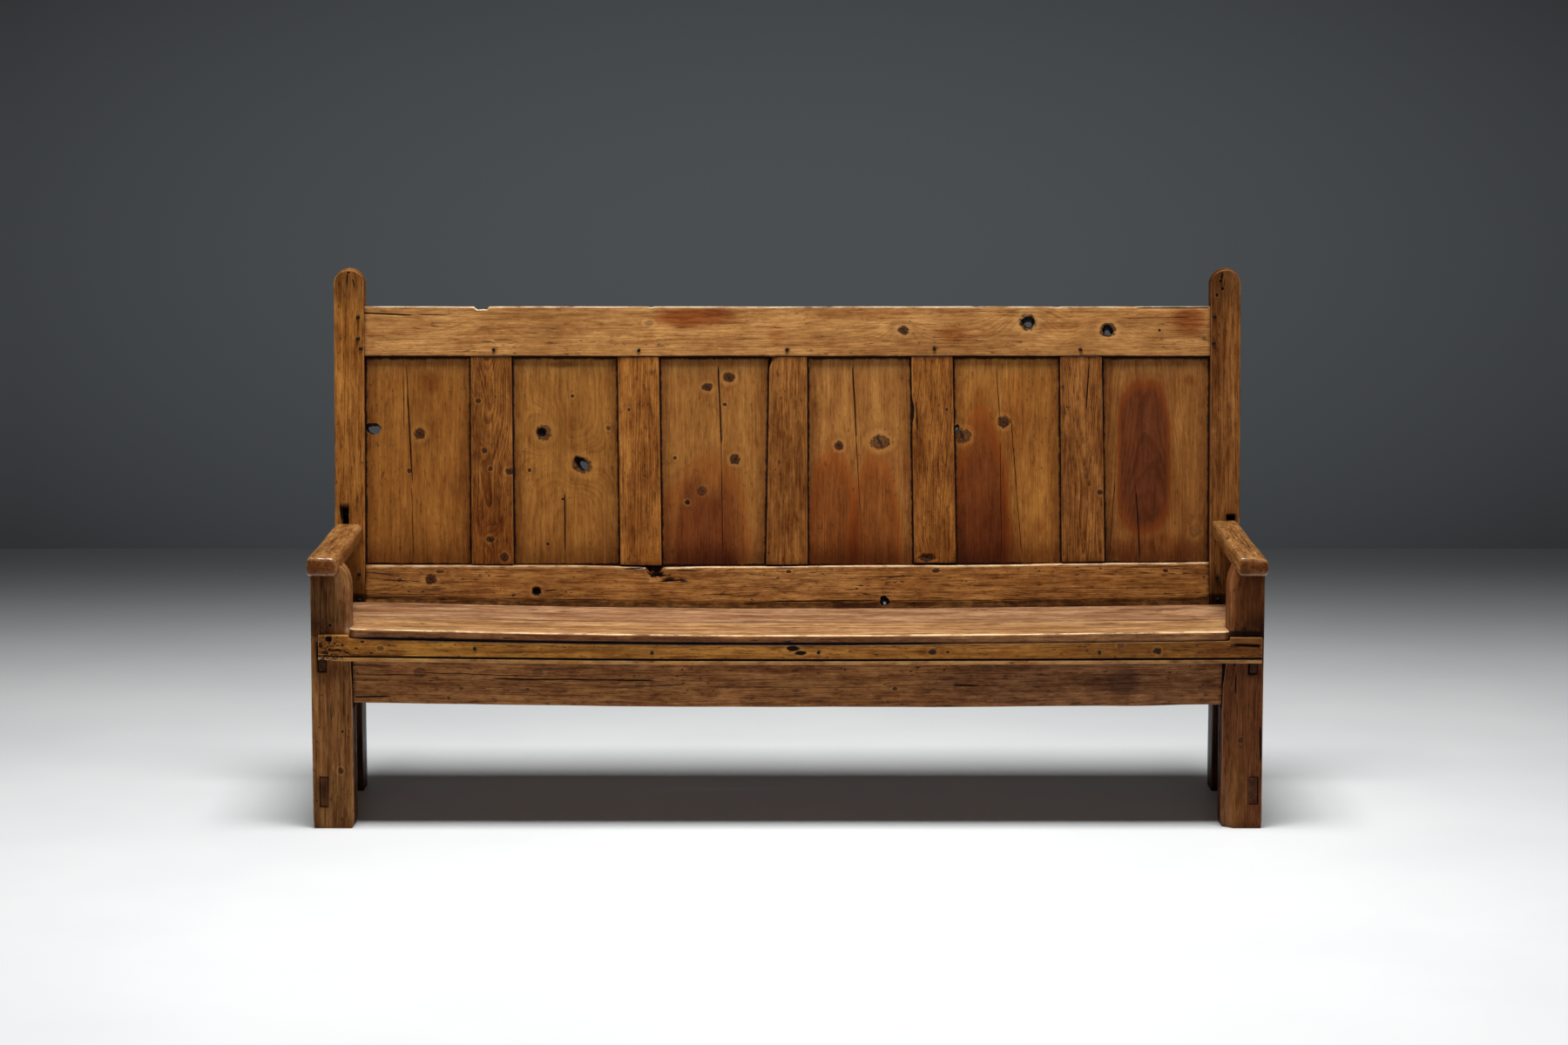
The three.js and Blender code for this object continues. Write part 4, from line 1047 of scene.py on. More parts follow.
# muntins
MUNTIN_FEATURES = [
    dict(knots=[(556, 517, 3, 3), (549, 460, 3.2, 2.6), (563, 538, 2.5, 2.5), (585, 541, 4.5, 3.6), (563, 619, 5, 3.4), (579, 640, 4.5, 5)], cracks=[],
         pith=(.040, -.030), ring=300, tone=.72, contrast=1.0, taper=-.055, seed=55, wave=2.4),
    dict(knots=[(722, 470, 1.6, 1.8)], cracks=[(738, 430, 739, 520, .25, .6)], pith=(.20, -.10), ring=300, tone=.86, contrast=.55, taper=.03, seed=61),
    dict(knots=[], cracks=[(905, 470, 906, 600, .25, .6)], pith=(-.12, -.05), ring=320, tone=.82, contrast=.60, taper=.03, seed=67),
    dict(knots=[(1064, 641, 8.5, 5.5), (1087, 470, 1.8, 2)], cracks=[(1050, 455, 1054, 500, .9, 3.0), (1054, 500, 1056, 560, .3, .8)],
         pith=(.10, -.04), ring=300, tone=.80, contrast=.80, taper=.08, seed=71),
    dict(knots=[(1263, 565, 3, 3)], cracks=[(1251, 411, 1247, 470, .6, 1.8)], pith=(.047, -.026), ring=330, tone=.84, contrast=.95, taper=-.045, seed=77, wave=1.0),
]


def make_muntin(i):
    l0, l1, r0, r1 = MUNTINS[i]
    f = MUNTIN_FEATURES[i]
    gap = [0.0012, 0.0034, 0.0034, 0.0040, 0.0030][i]
    w0 = float(lower_rail_top(np.array([(l0 + r0) / 2]))[0]) - 0.0008
    w1 = RAIL_LOW - 0.0006
    L, T = w1 - w0, 0.026
    W = 0.0915

    def edges(u):
        t = np.clip((u + w0 - 0.067) / (RAIL_LOW - 0.067), 0, 1)
        return l0 + (l1 - l0) * t, r0 + (r1 - r0) * t

    def uv(px, py):
        x, w = on_back(px, py, 0.005)
        a, b = edges(np.array([w - w0]))
        return w - w0, float((x - a[0]) / (b[0] - a[0]) * W)
    knots = []
    for k in f["knots"]:
        a, b = uv(k[0], k[1])
        knots.append(knot(a, b, k[3] * PX, k[2] * PX, "red", geo=k[2] > 2.8, bow=.45))
    cracks = []
    for j, (xa, ya, xb, yb, w, depth) in enumerate(f["cracks"]):
        (a, b), (c, d) = uv(xa, ya), uv(xb, yb)
        cracks.append(Crack(a, b, c, d, w, depth, .8, seed=300 + 10 * i + j, open1=min(ya, yb) < 415))

    def shape(u, v, n):
        # the shoulder stands clear of the rail; the stub behind it goes down to the wood
        a, b = edges(np.zeros_like(u))
        down = worn_top(a + (b - a) * v / W) - w0 - 0.0012
        u = u + (1 - smooth(0, .030, u)) * np.where(n > -.0125, down + gap + .0012, down)
        if i == 2:    # a corner broken off at the top left
            k = np.exp(-((u - L) / 0.016) ** 2) * np.exp(-(v / 0.012) ** 2) * (n > -T * 0.8)
            v = v + 0.008 * k
            n = n - 0.006 * k
        if i == 3:    # the long split has lost a sliver at the left edge
            uc = uv(1047, 472)[0]
            k = np.exp(-((u - uc) / 0.022) ** 4) * np.exp(-(v / 0.008) ** 2)
            v = v + 0.0045 * k
            n = n - 0.005 * k * (n > -T * 0.6)
        if i == 3:    # loose knot at the foot
            uc, vc = uv(1066, 641)
            k = np.exp(-((u - uc) / 0.010) ** 2 - ((v - vc) / 0.016) ** 2) * (n > -T * 0.5)
            n = n - 0.004 * k * (1 + 0.6 * noise3(u * 300, v * 300, n * 0, 5))
        return u, v, n

    def place(u, v, n):
        a, b = edges(u)
        return back_point(a + (b - a) * v / W, w0 + u, 0.005 - n)

    def dirt_and_shade(u, v, n):
        d = np.exp(-np.clip(L - u, 0, 1) / 0.006) * 0.8
        d = np.maximum(d, np.exp(-np.clip(u, 0, 1) / 0.004) * 0.7)
        d = np.maximum(d, smooth(-0.004, -0.009, n) * smooth(-.0215, -.018, n))
        return d

    # painted shade: black on the stub below the shoulder, in the gap over the lower rail
    def black(u, v, n):
        return smooth(-.005, -.009, n) * smooth(.03, .010, u)
    data = build_board(L, W, T, place, du=.012, dv=.008, r=(2.2, 2.2, 1.5, 1.5), re=(1.2, 1.0), wav=.4,
                       cracks=cracks, knots=knots, seed=70 + i, dirt_and_shade=dirt_and_shade, shape=shape, nmid=4, black=black)
    stains_and_painted_light = [dict(u=.06, v=W / 2, ru=.16, rv=1.0, tint=(.76, .64, .52), amount=.95, soft=.9, ragged=.5, box=True)] if i == 0 else []
    mat = pine(f"muntin_pine_{i + 1}", knots=knots, stains_and_painted_light=stains_and_painted_light, seed=f["seed"], pith=f["pith"], ring=f["ring"], tone=f["tone"], contrast=f["contrast"],
               taper=f["taper"], wave=f.get("wave", 1.2), early=(0.46, 0.215, 0.066), late=(0.19, 0.062, 0.014), blotch=.22, grime_shade_gain=.6, red=.14, rough=.45,
               wear_sheen_gain=.55, dashes=.65, coat=.5, grit=1.6, drift=.62, pits=.7)
    finish_piece(f"muntin_bar_{i + 1}", f"muntin_{i + 1}", data, mat)


def make_top_rail():
    x0, x1 = -0.9337, 0.9337
    L, W, T = x1 - x0, RAIL_HIGH - RAIL_LOW, 0.030

    def uv(px, py):
        x, w = on_back(px, py, 0.003)
        return x - x0, w - RAIL_LOW
    knots, holes, cracks = [], [], []
    for px, py, rx, ry, kind, kw in [(1037, 379, 6, 5, "red", {}), (1180, 369.5, 9.5, 8.5, "black", {}), (1271.6, 379, 8.5, 7.5, "black", {}),
                                     (1331, 379, 1.6, 1.6, "black", {"geo": False}), (745, 371, 5, 3, "tan", {"geo": False, "amount": .5})]:
        a, b = uv(px, py)
        knots.append(knot(a, b, rx * PX, ry * PX, kind, **kw))
    for px, py, rx, ry, turn in [(1180.3, 369.3, 7.0, 6.4, .3), (1271.4, 379.0, 6.4, 5.6, -.2)]:
        a, b = uv(px, py)
        holes.append(Hole(a, b, rx * PX, ry * PX, turn=turn, seed=len(holes) + 9, back=.56, shift=(0.0022, -0.0062)))
    for j, (xa, ya, xb, yb, w, depth) in enumerate([
            (418, 359.5, 478, 362.5, .75, 2.2), (474, 361, 520, 362, .5, 1.4), (562, 390.3, 594, 390.6, .45, 1.2), (494, 374.5, 504, 375, .5, 1.2),
            (640, 388.5, 690, 388, .25, .6), (756, 374, 850, 372, .25, .6), (764, 377.5, 800, 376.5, .3, .9), (985, 372, 1060, 371, .25, .6),
            (1110, 358, 1200, 359, .35, 1.0), (1215, 372, 1258, 374, .3, .8), (1285, 366, 1372, 364, .4, 1.1), (1300, 353.6, 1386, 353.2, .8, 2.4),
            (700, 353.3, 1290, 353.6, .35, .9), (420, 353.6, 544, 353.8, .35, .8), (880, 396, 960, 397, .25, .6)]):
        (a, b), (c, d) = uv(xa, ya), uv(xb, yb)
        cracks.append(Crack(a, b, c, d, w, depth, .9, seed=400 + j, open0=xa < 419, open1=xb > 1385))
    stains_and_painted_light = []
    for (px, py), (rx, ry), tint, amount, soft in [
            ((795, 364), (66, 16), (.52, .28, .17), .95, .7), ((1095, 384), (28, 12), (.66, .42, .30), .8, .8), ((1365, 370), (30, 20), (.60, .38, .28), .95, .8), ((1330, 362), (60, 10), (.75, .62, .55), .7, .8), ((1240, 372), (60, 20), (.84, .72, .62), .6, .9),
            ((745, 385), (10, 10), (.74, .56, .46), .6, .7), ((480, 374), (12, 8), (.78, .62, .55), .5, .8), ((890, 384), (14, 16), (.78, .58, .46), .6, .7),
            ((560, 380), (16, 10), (.74, .6, .54), .6, .8), ((1000, 360), (60, 5), (.8, .58, .46), .5, .7), ((568, 402), (5, 5), (.5, .38, .34), .7, .7),
            ((904, 402), (5, 5), (.5, .38, .34), .7, .7), ((1073, 401), (5, 5), (.5, .38, .34), .7, .7)]:
        a, b = uv(px, py)
        stains_and_painted_light.append(dict(u=a, v=b, ru=rx * PX, rv=ry * PX, tint=tint, amount=amount, soft=soft, ragged=.9, grain=(14.0, 60.0, 60.0)))
    chip_u = uv(553.5, 352)[0]

    def shape(u, v, n):
        # a bite out of the top edge, and small nicks along it
        k = smooth(chip_u - 0.020, chip_u - 0.012, u) * (1 - smooth(chip_u + 0.010, chip_u + 0.016, u))
        hi = smooth(W - 0.014, W, v)
        v = v - hi * k * (0.0065 + 0.0014 * noise1(u * 400, 3))
        for c, wd, dp in ((1213, .006, .0018), (1300, .004, .0012), (1468 / 1.0, .0, .0), (747, .006, .0020), (952, .005, .0012), (1120, .008, .0012), (655, .004, .0010)):
            if dp:
                cc = uv(c, 352)[0]
                v = v - smooth(W - 0.010, W, v) * np.exp(-((u - cc) / wd) ** 2) * dp
        v = v + smooth(W * 0.6, W, v) * 0.0009 * noise1(u * 5, 8)
        v = v + smooth(W * 0.4, 0, v) * 0.0007 * noise1(u * 7, 18)
        return u, v, n

    def place(u, v, n):
        return back_point(x0 + u, RAIL_LOW + v, 0.003 - n)

    def dirt_and_shade(u, v, n):
        d = np.exp(-np.clip(u, 0, 1) / 0.004) * 0.8
        d = np.maximum(d, np.exp(-np.clip(L - u, 0, 1) / 0.004) * 0.8)
        d = np.maximum(d, np.exp(-np.clip(v, 0, 1) / 0.0022) * 0.8)
        return d
    ul = [(chip_u, 0.024, 0.0016)]
    # painted highlight: the polished top edge is lit into a bright line by the pale worn colour; the lower edge keeps
    # almost none
    data = build_board(L, W, T, place, du=.008, dv=.008, r=(1.8, 3.0, 2.5, 4.0), re=(.8, .8), wav=.45, worn=lambda u, v, n: 1 - .95 * smooth(.007, .003, v),
                       rub_and_sheen=lambda u, v, n: smooth(W - .0042, W - .0020, v) * smooth(-.0055, -.0030, n) * (.8 + .5 * noise1(u * 11, 83)),
                       cracks=cracks, knots=knots, holes=holes, seed=90, dirt_and_shade=dirt_and_shade, shape=shape, ulines=ul, nmid=2)
    # the pale worn colour paints the top edge's highlight
    mat = pine("top_rail_pine", knots=knots, stains_and_painted_light=stains_and_painted_light, seed=89, pith=(.13, -.10), ring=230, taper=.015, contrast=.42, wave=.8,
               early=(0.60, 0.325, 0.125), late=(0.34, 0.135, 0.036), tone=.98, blotch=.20, grime_shade_gain=.6, red=.14, rough=.42, wear_sheen_gain=1.0, worn=(1.7, 2.6, 5.5), dashes=.75, coat=.9, gloss=.22, grit=1.1, drift=.48, pits=.5,
               cathedral=[(uv(565, 372)[0], W * .62, .075, .030, .022)])
    finish_piece("top_rail_board", "top_rail", data, mat)


def make_lower_rail():
    x0, x1 = -0.9337, 0.9337
    W0 = -0.082
    L, T = x1 - x0, 0.028
    W = 0.152

    def uv(px, py):
        x, w = on_back(px, py, 0.004)
        t = float(worn_top(np.array([x]))[0])
        return x - x0, (w - W0) / (t - W0) * W
    knots, holes, cracks = [], [], []
    for px, py, rx, ry, kind, kw in [(495, 665, 6.5, 5.6, "red", {"halo": .8}), (616, 679, 5.2, 5.2, "black", {"pit": 5.0, "halo": .8}), (459, 666, 3, 2, "red", {}), (505, 656, 4, 2, "tan", {"geo": False}),
                                     (754, 657, 7.5, 3.2, "black", {"geo": False, "halo": 0}), (768, 665, 6.5, 2.2, "black", {"geo": False, "halo": 0}), (743, 652, 6, 1.6, "black", {"geo": False, "halo": 0}), (785, 667, 4, 1.2, "black", {"geo": False, "halo": 0}),
                                     (1074, 655, 4, 2.4, "red", {"geo": False}), (1338, 655, 3, 2, "red", {"geo": False}), (905, 656, 3, 2, "red", {"geo": False})]:
        a, b = uv(px, py)
        knots.append(knot(a, b, rx * PX, ry * PX, kind, **kw))
    a, b = uv(1015.5, 690)
    holes.append(Hole(a, b, 5.8 * PX, 5.6 * PX, seed=4, back=.30, shift=(0.0010, -0.0066)))
    for j, (xa, ya, xb, yb, w, depth) in enumerate([
            (440, 656, 490, 657, .35, .9), (624, 678.5, 642, 677, .6, 1.6), (712, 654, 742, 652, .8, 2.4), (742, 655, 768, 662, 1.2, 3.5), (752, 668, 790, 665, .7, 2.0),
            (805, 660, 900, 662, .3, .8), (860, 656, 868, 662, .5, 1.2), (1290, 652, 1385, 650, .3, .9), (540, 684, 700, 686, .3, .8), (880, 691, 1010, 690, .6, 1.6),
            (1020, 690, 1200, 688, .35, 1.0), (1100, 671, 1180, 672, .25, .7), (430, 682, 520, 683, .4, 1.0), (1230, 676, 1330, 675, .25, .7)]):
        (a, b), (c, d) = uv(xa, ya), uv(xb, yb)
        cracks.append(Crack(a, b, c, d, w, depth, 1.0, seed=500 + j))
    bite = uv(752, 650)[0]

    def shape(u, v, n):
        # broken notch in the top edge, splintered
        k = np.exp(-((u - bite) / 0.016) ** 4) * smooth(W - 0.036, W - 0.004, v) * smooth(-0.024, -0.010, n)
        rough_ = 1 + 0.5 * noise3(u * 260, v * 200, n * 100, 77)
        n = n - 0.010 * k * rough_
        v = v - 0.010 * k * rough_
        # worn back towards the seat
        foot = smooth(0.016, 0.004, above_seat(u, v))
        n = n - 0.0012 * foot
        return u, v, n

    def place(u, v, n):
        x = x0 + u
        t = worn_top(x)
        return back_point(x, W0 + v / W * (t - W0), 0.004 - n)

    def above_seat(u, v):
        x = x0 + u
        t = worn_top(x)
        return KNEE + (W0 + v / W * (t - W0)) * CR - seat_top(x)

    def dirt_and_shade(u, v, n):
        d = np.exp(-np.clip(u, 0, 1) / 0.005) * 0.8
        d = np.maximum(d, np.exp(-np.clip(L - u, 0, 1) / 0.005) * 0.8)
        d = np.maximum(d, smooth(0.022, 0.006, above_seat(u, v) + .005 * noise1(u * 12, 91)) * 0.70)
        d = np.maximum(d, np.exp(-((u - bite) / 0.020) ** 2) * smooth(W - 0.030, W - 0.008, v) * .9)
        return d
    # the polished top edge: partly real polish, partly a painted highlight line from the pale worn colour
    data = build_board(L, W, T, place, du=.008, dv=.008, r=(2, 5.0, 2, 3.5), re=(.8, .8), wav=.8,
                       cracks=cracks, knots=knots, holes=holes, seed=95, dirt_and_shade=dirt_and_shade, shape=shape,
                       ulines=[(bite, 0.026, 0.0016)], vlines=[(W - 0.015, 0.014, 0.002)], nmid=2,
                       rub_and_sheen=lambda u, v, n: smooth(W - .0060, W - .0028, v) * smooth(-.0060, -.0030, n) * (.7 + .6 * noise1(u * 9, 84)))
    # the pale worn colour paints the top edge's highlight
    mat = pine("lower_rail_pine", knots=knots, seed=97, pith=(.05, -.05), ring=260, taper=.012, contrast=.5, wave=1.5,
               early=(0.50, 0.235, 0.078), late=(0.25, 0.088, 0.022), tone=.88, blotch=.24, grime_shade_gain=.62, red=.16, rough=.44, wear_sheen_gain=.75, dashes=1.0, coat=.8, gloss=.22, grit=1.6, drift=.55, pits=1.0, worn=(1.5, 2.2, 4.2), checks=(9.0, 100.0, .64, .85),
               stains_and_painted_light=[dict(u=uv(900, 668)[0], v=W * .80, ru=.26, rv=.050, tint=(1.22, 1.36, 1.60), amount=.9, soft=.95, ragged=.6),
                       dict(u=uv(1115, 668)[0], v=W * .8, ru=.05, rv=.02, tint=(1.25, 1.3, 1.4), amount=.5, soft=.8, ragged=1.4, grain=(30., 90., 90.)),
                       dict(u=uv(520, 672)[0], v=W * .72, ru=.028, rv=.012, tint=(.6, .45, .4), amount=.6, soft=.7, ragged=1.0)])
    finish_piece("lower_rail_board", "lower_back_rail", data, mat)


# ================================================================== the sides
def post_shape(z):
    """front and back planes of a post and its inner face at height z"""
    lean = np.maximum(z - KNEE, 0) * math.tan(RAKE)
    lean = lean - 0.0010 * np.exp(-((z - KNEE) / 0.03) ** 2) * 0
    yf = YS + 0.400 + lean
    full = 0.400 + (1.200 - KNEE) * math.tan(RAKE) + 0.042 - 0.475
    yb = YS + 0.475 + full * np.maximum(z - KNEE, 0) / (1.200 - KNEE)
    xi = np.interp(z, [0, 0.330, 0.420, 1.2], [0.944, 0.944, 0.934, 0.934])
    return yf, yb, xi


def make_post(side, tag):
    L, W, T, TOP = 1.160, 0.066, 0.075, 0.033
    out = 1.0

    def uv(px, py):
        x, w = on_back(px, py, 0.0)
        z = KNEE + w * CR
        xi = float(post_shape(np.array([z]))[2][0])
        return z, (out - abs(x)) / (out - xi) * W
    mort = [(0.967, 0.985), (0.970, 0.988)][side > 0]
    mz = [(0.566, 0.634), (0.572, 0.618)][side > 0]
    holes = [Hole(0, 0, 1, 1, rect=(mz[0], mz[1], out - mort[1], out - mort[0]), window=((.6015, .6105, .0215, .0315), (.578, .596, .013, .029))[side > 0])]
    if side < 0:
        ck = [(410.6, 367, 410.6, 388, .5, 1.6), (399, 309, 398, 331, .7, 2.0), (404.5, 318, 407.5, 333, .6, 1.6), (393, 410, 395, 470, .3, .8), (390, 575, 392, 600, .8, 2.2),
              (388, 500, 389, 560, .3, .9), (401, 430, 400, 520, .3, .7), (406, 470, 408, 560, .25, .6), (404, 345, 406, 420, .3, .8)]
        kn = [(400, 311, 2.2, 2.0, "black", {"geo": False})]
    else:
        ck = [(1403.5, 313, 1402, 322, .9, 2.4), (1406, 318, 1405, 332, .4, 1.0), (1412, 380, 1413, 520, .3, .8), (1399, 400, 1398, 500, .25, .6), (1418, 430, 1419, 560, .3, .9),
              (1405, 520, 1406, 585, .3, .8), (1394, 540, 1395, 640, .3, .7)]
        kn = [(1401.5, 322.7, 2.0, 1.8, "black", {"pit": 2.0, "halo": .4}), (1403.6, 331.8, 2.0, 1.6, "black", {"pit": 2.0, "halo": .4}), (1397, 339, 1.8, 1.8, "black", {"pit": 2.0, "halo": .4})]
    cracks, knots = [], []
    for j, (xa, ya, xb, yb, w, depth) in enumerate(ck):
        (a, b), (c, d) = uv(xa, ya), uv(xb, yb)
        cracks.append(Crack(a, b, c, d, w, depth, .9, seed=600 + j + 50 * (side > 0)))
    cracks.append(Crack(0.02, .020, .30, .022, .5, 1.5, 1.2, seed=640 + side, open0=True))
    for px, py, rx, ry, kind, kw in kn:
        a, b = uv(px, py)
        knots.append(knot(a, b, ry * PX, rx * PX, kind, **kw))

    def place(u, v, n):
        z = u.copy()
        s = v / W * 2 - 1
        # square top corners pulled into a half round
        t = np.clip((u - (L - TOP)) / TOP, 0, 1)
        s2 = s * np.sqrt(np.clip(1 - t * t / 2, 0, 1))
        t2 = t * np.sqrt(np.clip(1 - s * s / 2, 0, 1))
        z = np.where(t > 0, (L - TOP) + TOP * t2, z)
        yf, yb, xi = post_shape(z)
        hw = (out - xi) / 2
        x = (out + xi) / 2 - hw * s2
        y = yf + (-n / T) * (yb - yf)
        # crown the top from front to back
        crown = t * 0.004 * (2 * (-n / T) - 1) ** 2
        return np.stack([side * x, y, z - crown], -1)

    def dirt_and_shade(u, v, n):
        d = np.exp(-np.clip(u, 0, 1) / 0.010) * 0.6
        e = np.exp(-np.clip(W - v, 0, 1) / 0.003) * (n < -0.003) * (n > -0.040) * (u > 0.44) * (u < 1.08) * .9
        d = np.maximum(d, e)
        m = np.exp(-np.hypot(np.clip(np.abs(u - (mz[0] + mz[1]) / 2) - (mz[1] - mz[0]) / 2, 0, 1), np.clip(np.abs(v - (out - sum(mort) / 2)) - .009, 0, 1)) / 0.0035) * .8
        d = np.maximum(d, m * (u > .60))
        if side > 0:   # a dark greasy band down the inner part of this post
            d = np.maximum(d, .42 * smooth(.020, .040, v) * smooth(.60, .80, u))
        d = np.maximum(d, .55 * smooth(.52, .44, u) * smooth(.36, .42, u))
        return d

    # painted shade: the front and inner faces are darkened below the seat, as if in its shadow, and more lightly up
    # towards the arm
    def under(u, v, n):
        face = np.maximum(smooth(-.012, -.004, n), smooth(W - .008, W - .003, v) * smooth(-T, -T * .6, n))
        return face * np.maximum(smooth(.452, .440, u) * .97, smooth(.56, .46, u) * .44)
    data = build_board(L, W, T, place, du=.012, dv=.0065, under=under, r=(3.2, 2.6, 3, 3), re=(1.5, 4), wav=.5,
                       cracks=cracks, knots=knots, holes=holes, seed=110 + side, dirt_and_shade=dirt_and_shade, nmid=2, ulines=[(L - TOP / 2, TOP / 2, 0.003), (.446, .008, .002)], vlines=[(W - .006, .003, .001)])
    mat = pine(f"post_pine_{tag}", knots=knots, seed=115 + 3 * side, pith=((.10, -.03) if side < 0 else (-.05, -.05)), ring=300, taper=.03, contrast=.62, wave=1.1,
               stains_and_painted_light=[
                       dict(u=1.14, v=.033, ru=.10, rv=.2, tint=(.55, .55, .62), amount=.9, soft=.9, ragged=.5, box=True)],
               early=((0.50, 0.230, 0.066) if side < 0 else (0.40, 0.185, 0.062)), late=(0.20, 0.066, 0.016), tone=.90 if side < 0 else .80, blotch=.26, grime_shade_gain=.55, red=.14, rough=.45,
               wear_sheen_gain=.7, dashes=.75, coat=.4, grit=1.7, drift=.6, pits=.7, long=.7, spec=.06, underside_shade_tint=(.12, .09, .08))
    finish_piece(f"{tag}_post_timber", f"{tag}_back_post", data, mat)


def make_leg(side, tag):
    L, W, T = 0.5555, 0.086, 0.068

    def inner(z):
        if side < 0:
            x = np.interp(z, [0, .300, .400, .506, .514, .521, .529, .536, .542, .5465, .551, .5555, .6],
                          [.914, .913, .917, .917, .9173, .9180, .9194, .9215, .9242, .9270, .9303, .9350, .937])
        else:
            x = np.interp(z, [0, .300, .400, .506, .513, .520, .527, .533, .539, .544, .549, .5555, .6],
                          [.914, .913, .925, .925, .9252, .9258, .9269, .9284, .9300, .9320, .9340, .9368, .938])
        # the foot is worn away at its inner corner
        x = x + 0.0034 * np.exp(-(np.maximum(z, 0) / 0.010) ** 1.6)
        return x

    def outer(z):
        return np.interp(z, [0, .15, .45, .56], [0.9992, 0.9988, 0.998, 0.998]) - 0.0015 * np.exp(-(z / 0.012) ** 2)
    st = [((0.047, 0.110), (0.966, 0.984)), ((0.052, 0.110), (0.969, 0.990))][side > 0]
    sr = [((0.334, 0.396), (0.966, 0.984)), ((0.330, 0.391), (0.968, 0.986))][side > 0]

    def to_v(x, z):
        o, i = float(outer(np.array([z]))[0]), float(inner(np.array([z]))[0])
        return (o - x) / (o - i) * W
    holes = []
    for (za, zb), (xa, xb) in (st, sr):
        zm = (za + zb) / 2
        holes.append(Hole(0, 0, 1, 1, rect=(za, zb, to_v(xb, zm), to_v(xa, zm))))

    def uv(px, py):
        x, z = on_plane(px, py, 0.0)
        return z, to_v(abs(x), z)
    if side < 0:
        ck = [(380, 800, 381, 860, .25, .6), (372, 850, 373, 940, .3, .8), (396, 780, 397, 900, .25, .6), (366, 640, 367, 720, .4, 1.2), (374, 668, 375, 722, .4, 1.0), (388, 880, 389, 950, .3, .8)]
        kn = [(391, 885, 3.0, 3.4, "red", {"geo": False}), (393, 840, 1.4, 2, "black", {"geo": False}), (379, 718, 2.0, 2.0, "black", {"geo": False})]
    else:
        ck = [(1447, 828, 1447.5, 880, .9, 2.6), (1419, 770, 1419.5, 800, .7, 2.0), (1420, 800, 1421, 830, .4, 1.2), (1410, 830, 1411, 930, .25, .6), (1430, 790, 1431, 880, .3, .8), (1440, 640, 1441, 700, .4, 1.0),
              (1447, 690, 1447, 735, .5, 1.4)]
        kn = [(1417, 763.5, 2.2, 2.0, "black", {"geo": False}), (1424, 850, 2.5, 3, "red", {"geo": False})]
    cracks, knots = [], []
    for j, (xa, ya, xb, yb, w, depth) in enumerate(ck):
        (a, b), (c, d) = uv(xa, ya), uv(xb, yb)
        cracks.append(Crack(a, b, c, d, w, depth, .8, seed=700 + j + 50 * (side > 0)))
    for px, py, rx, ry, kind, kw in kn:
        a, b = uv(px, py)
        knots.append(knot(a, b, ry * 0.00183, rx * 0.00183, kind, **kw))

    def place(u, v, n):
        xo, xi = outer(u), inner(u)
        x = xo - (xo - xi) * v / W
        y = YS - n
        return np.stack([side * x, y, u], -1)

    def worn_width(u):
        if side < 0:
            return np.interp(u, [.410, .425, .55, .556], [.0, .018, .034, .034]) + .003 * smooth(.03, 0, u)
        return np.interp(u, [0, .15, .165, .410, .425, .55, .556], [.025, .003, .0, .0, .012, .024, .024])

    def slope(u):
        return np.where(u > .3, .34 if side < 0 else .62, .85)

    def shape(u, v, n):
        # the inner front corner is worn to a slope above the strip, and on the right foot too
        c = worn_width(u)
        lim = -np.clip(v - (W - c), 0, 1) * slope(u) * (1 + .12 * noise1(u * 38, 61 + side))
        n = np.where(n > lim, lim + n * .02, n)
        k = np.exp(-((u - 0.440) / 0.024) ** 2) * smooth(W * 0.55, W, v) * (n > -T * .5)
        n = n - 0.0016 * k * (1 + .8 * noise3(u * 120, v * 120, n * 0, 60 + side))
        return u, v, n

    def black(u, v, n):
        # the joint with the apron
        return smooth(W - .0010, W - .0003, v) * smooth(-.0014, -.0024, n) * smooth(.250, .262, u) * smooth(.412, .402, u)

    def dirt_and_shade(u, v, n):
        d = np.exp(-np.clip(u, 0, 1) / 0.006) * 0.7
        # painted shade just above the strip and under the arm, and a darker band just below the strip
        lo = smooth(.475, .425, u) * smooth(.405, .412, u) * .75
        d = np.maximum(d, lo * smooth(W, W * .35, v))
        d = np.maximum(d, smooth(.424, .414, u) * smooth(.405, .410, u) * (n > -.02) * (1.0 if side > 0 else .45))
        d = np.maximum(d, smooth(.505, .54, u) * smooth(W * .75, W * .5, v) * .55)
        d = np.maximum(d, smooth(.36, .34, u) * smooth(.31, .335, u) * .35)
        d = np.maximum(d, smooth(W - .0018, W - .0006, v) * smooth(.425, .400, u) * smooth(-.004, -.010, n) * .85)
        for (za, zb), (xa, xb) in (st, sr):
            zc, hz = (za + zb) / 2, (zb - za) / 2
            vc, hv = to_v((xa + xb) / 2, zc), (xb - xa) / 2
            q = np.hypot(np.clip(np.abs(u - zc) - hz, 0, 1), np.clip(np.abs(v - vc) - hv, 0, 1))
            d = np.maximum(d, np.exp(-q / 0.0020) * .55)
        return d

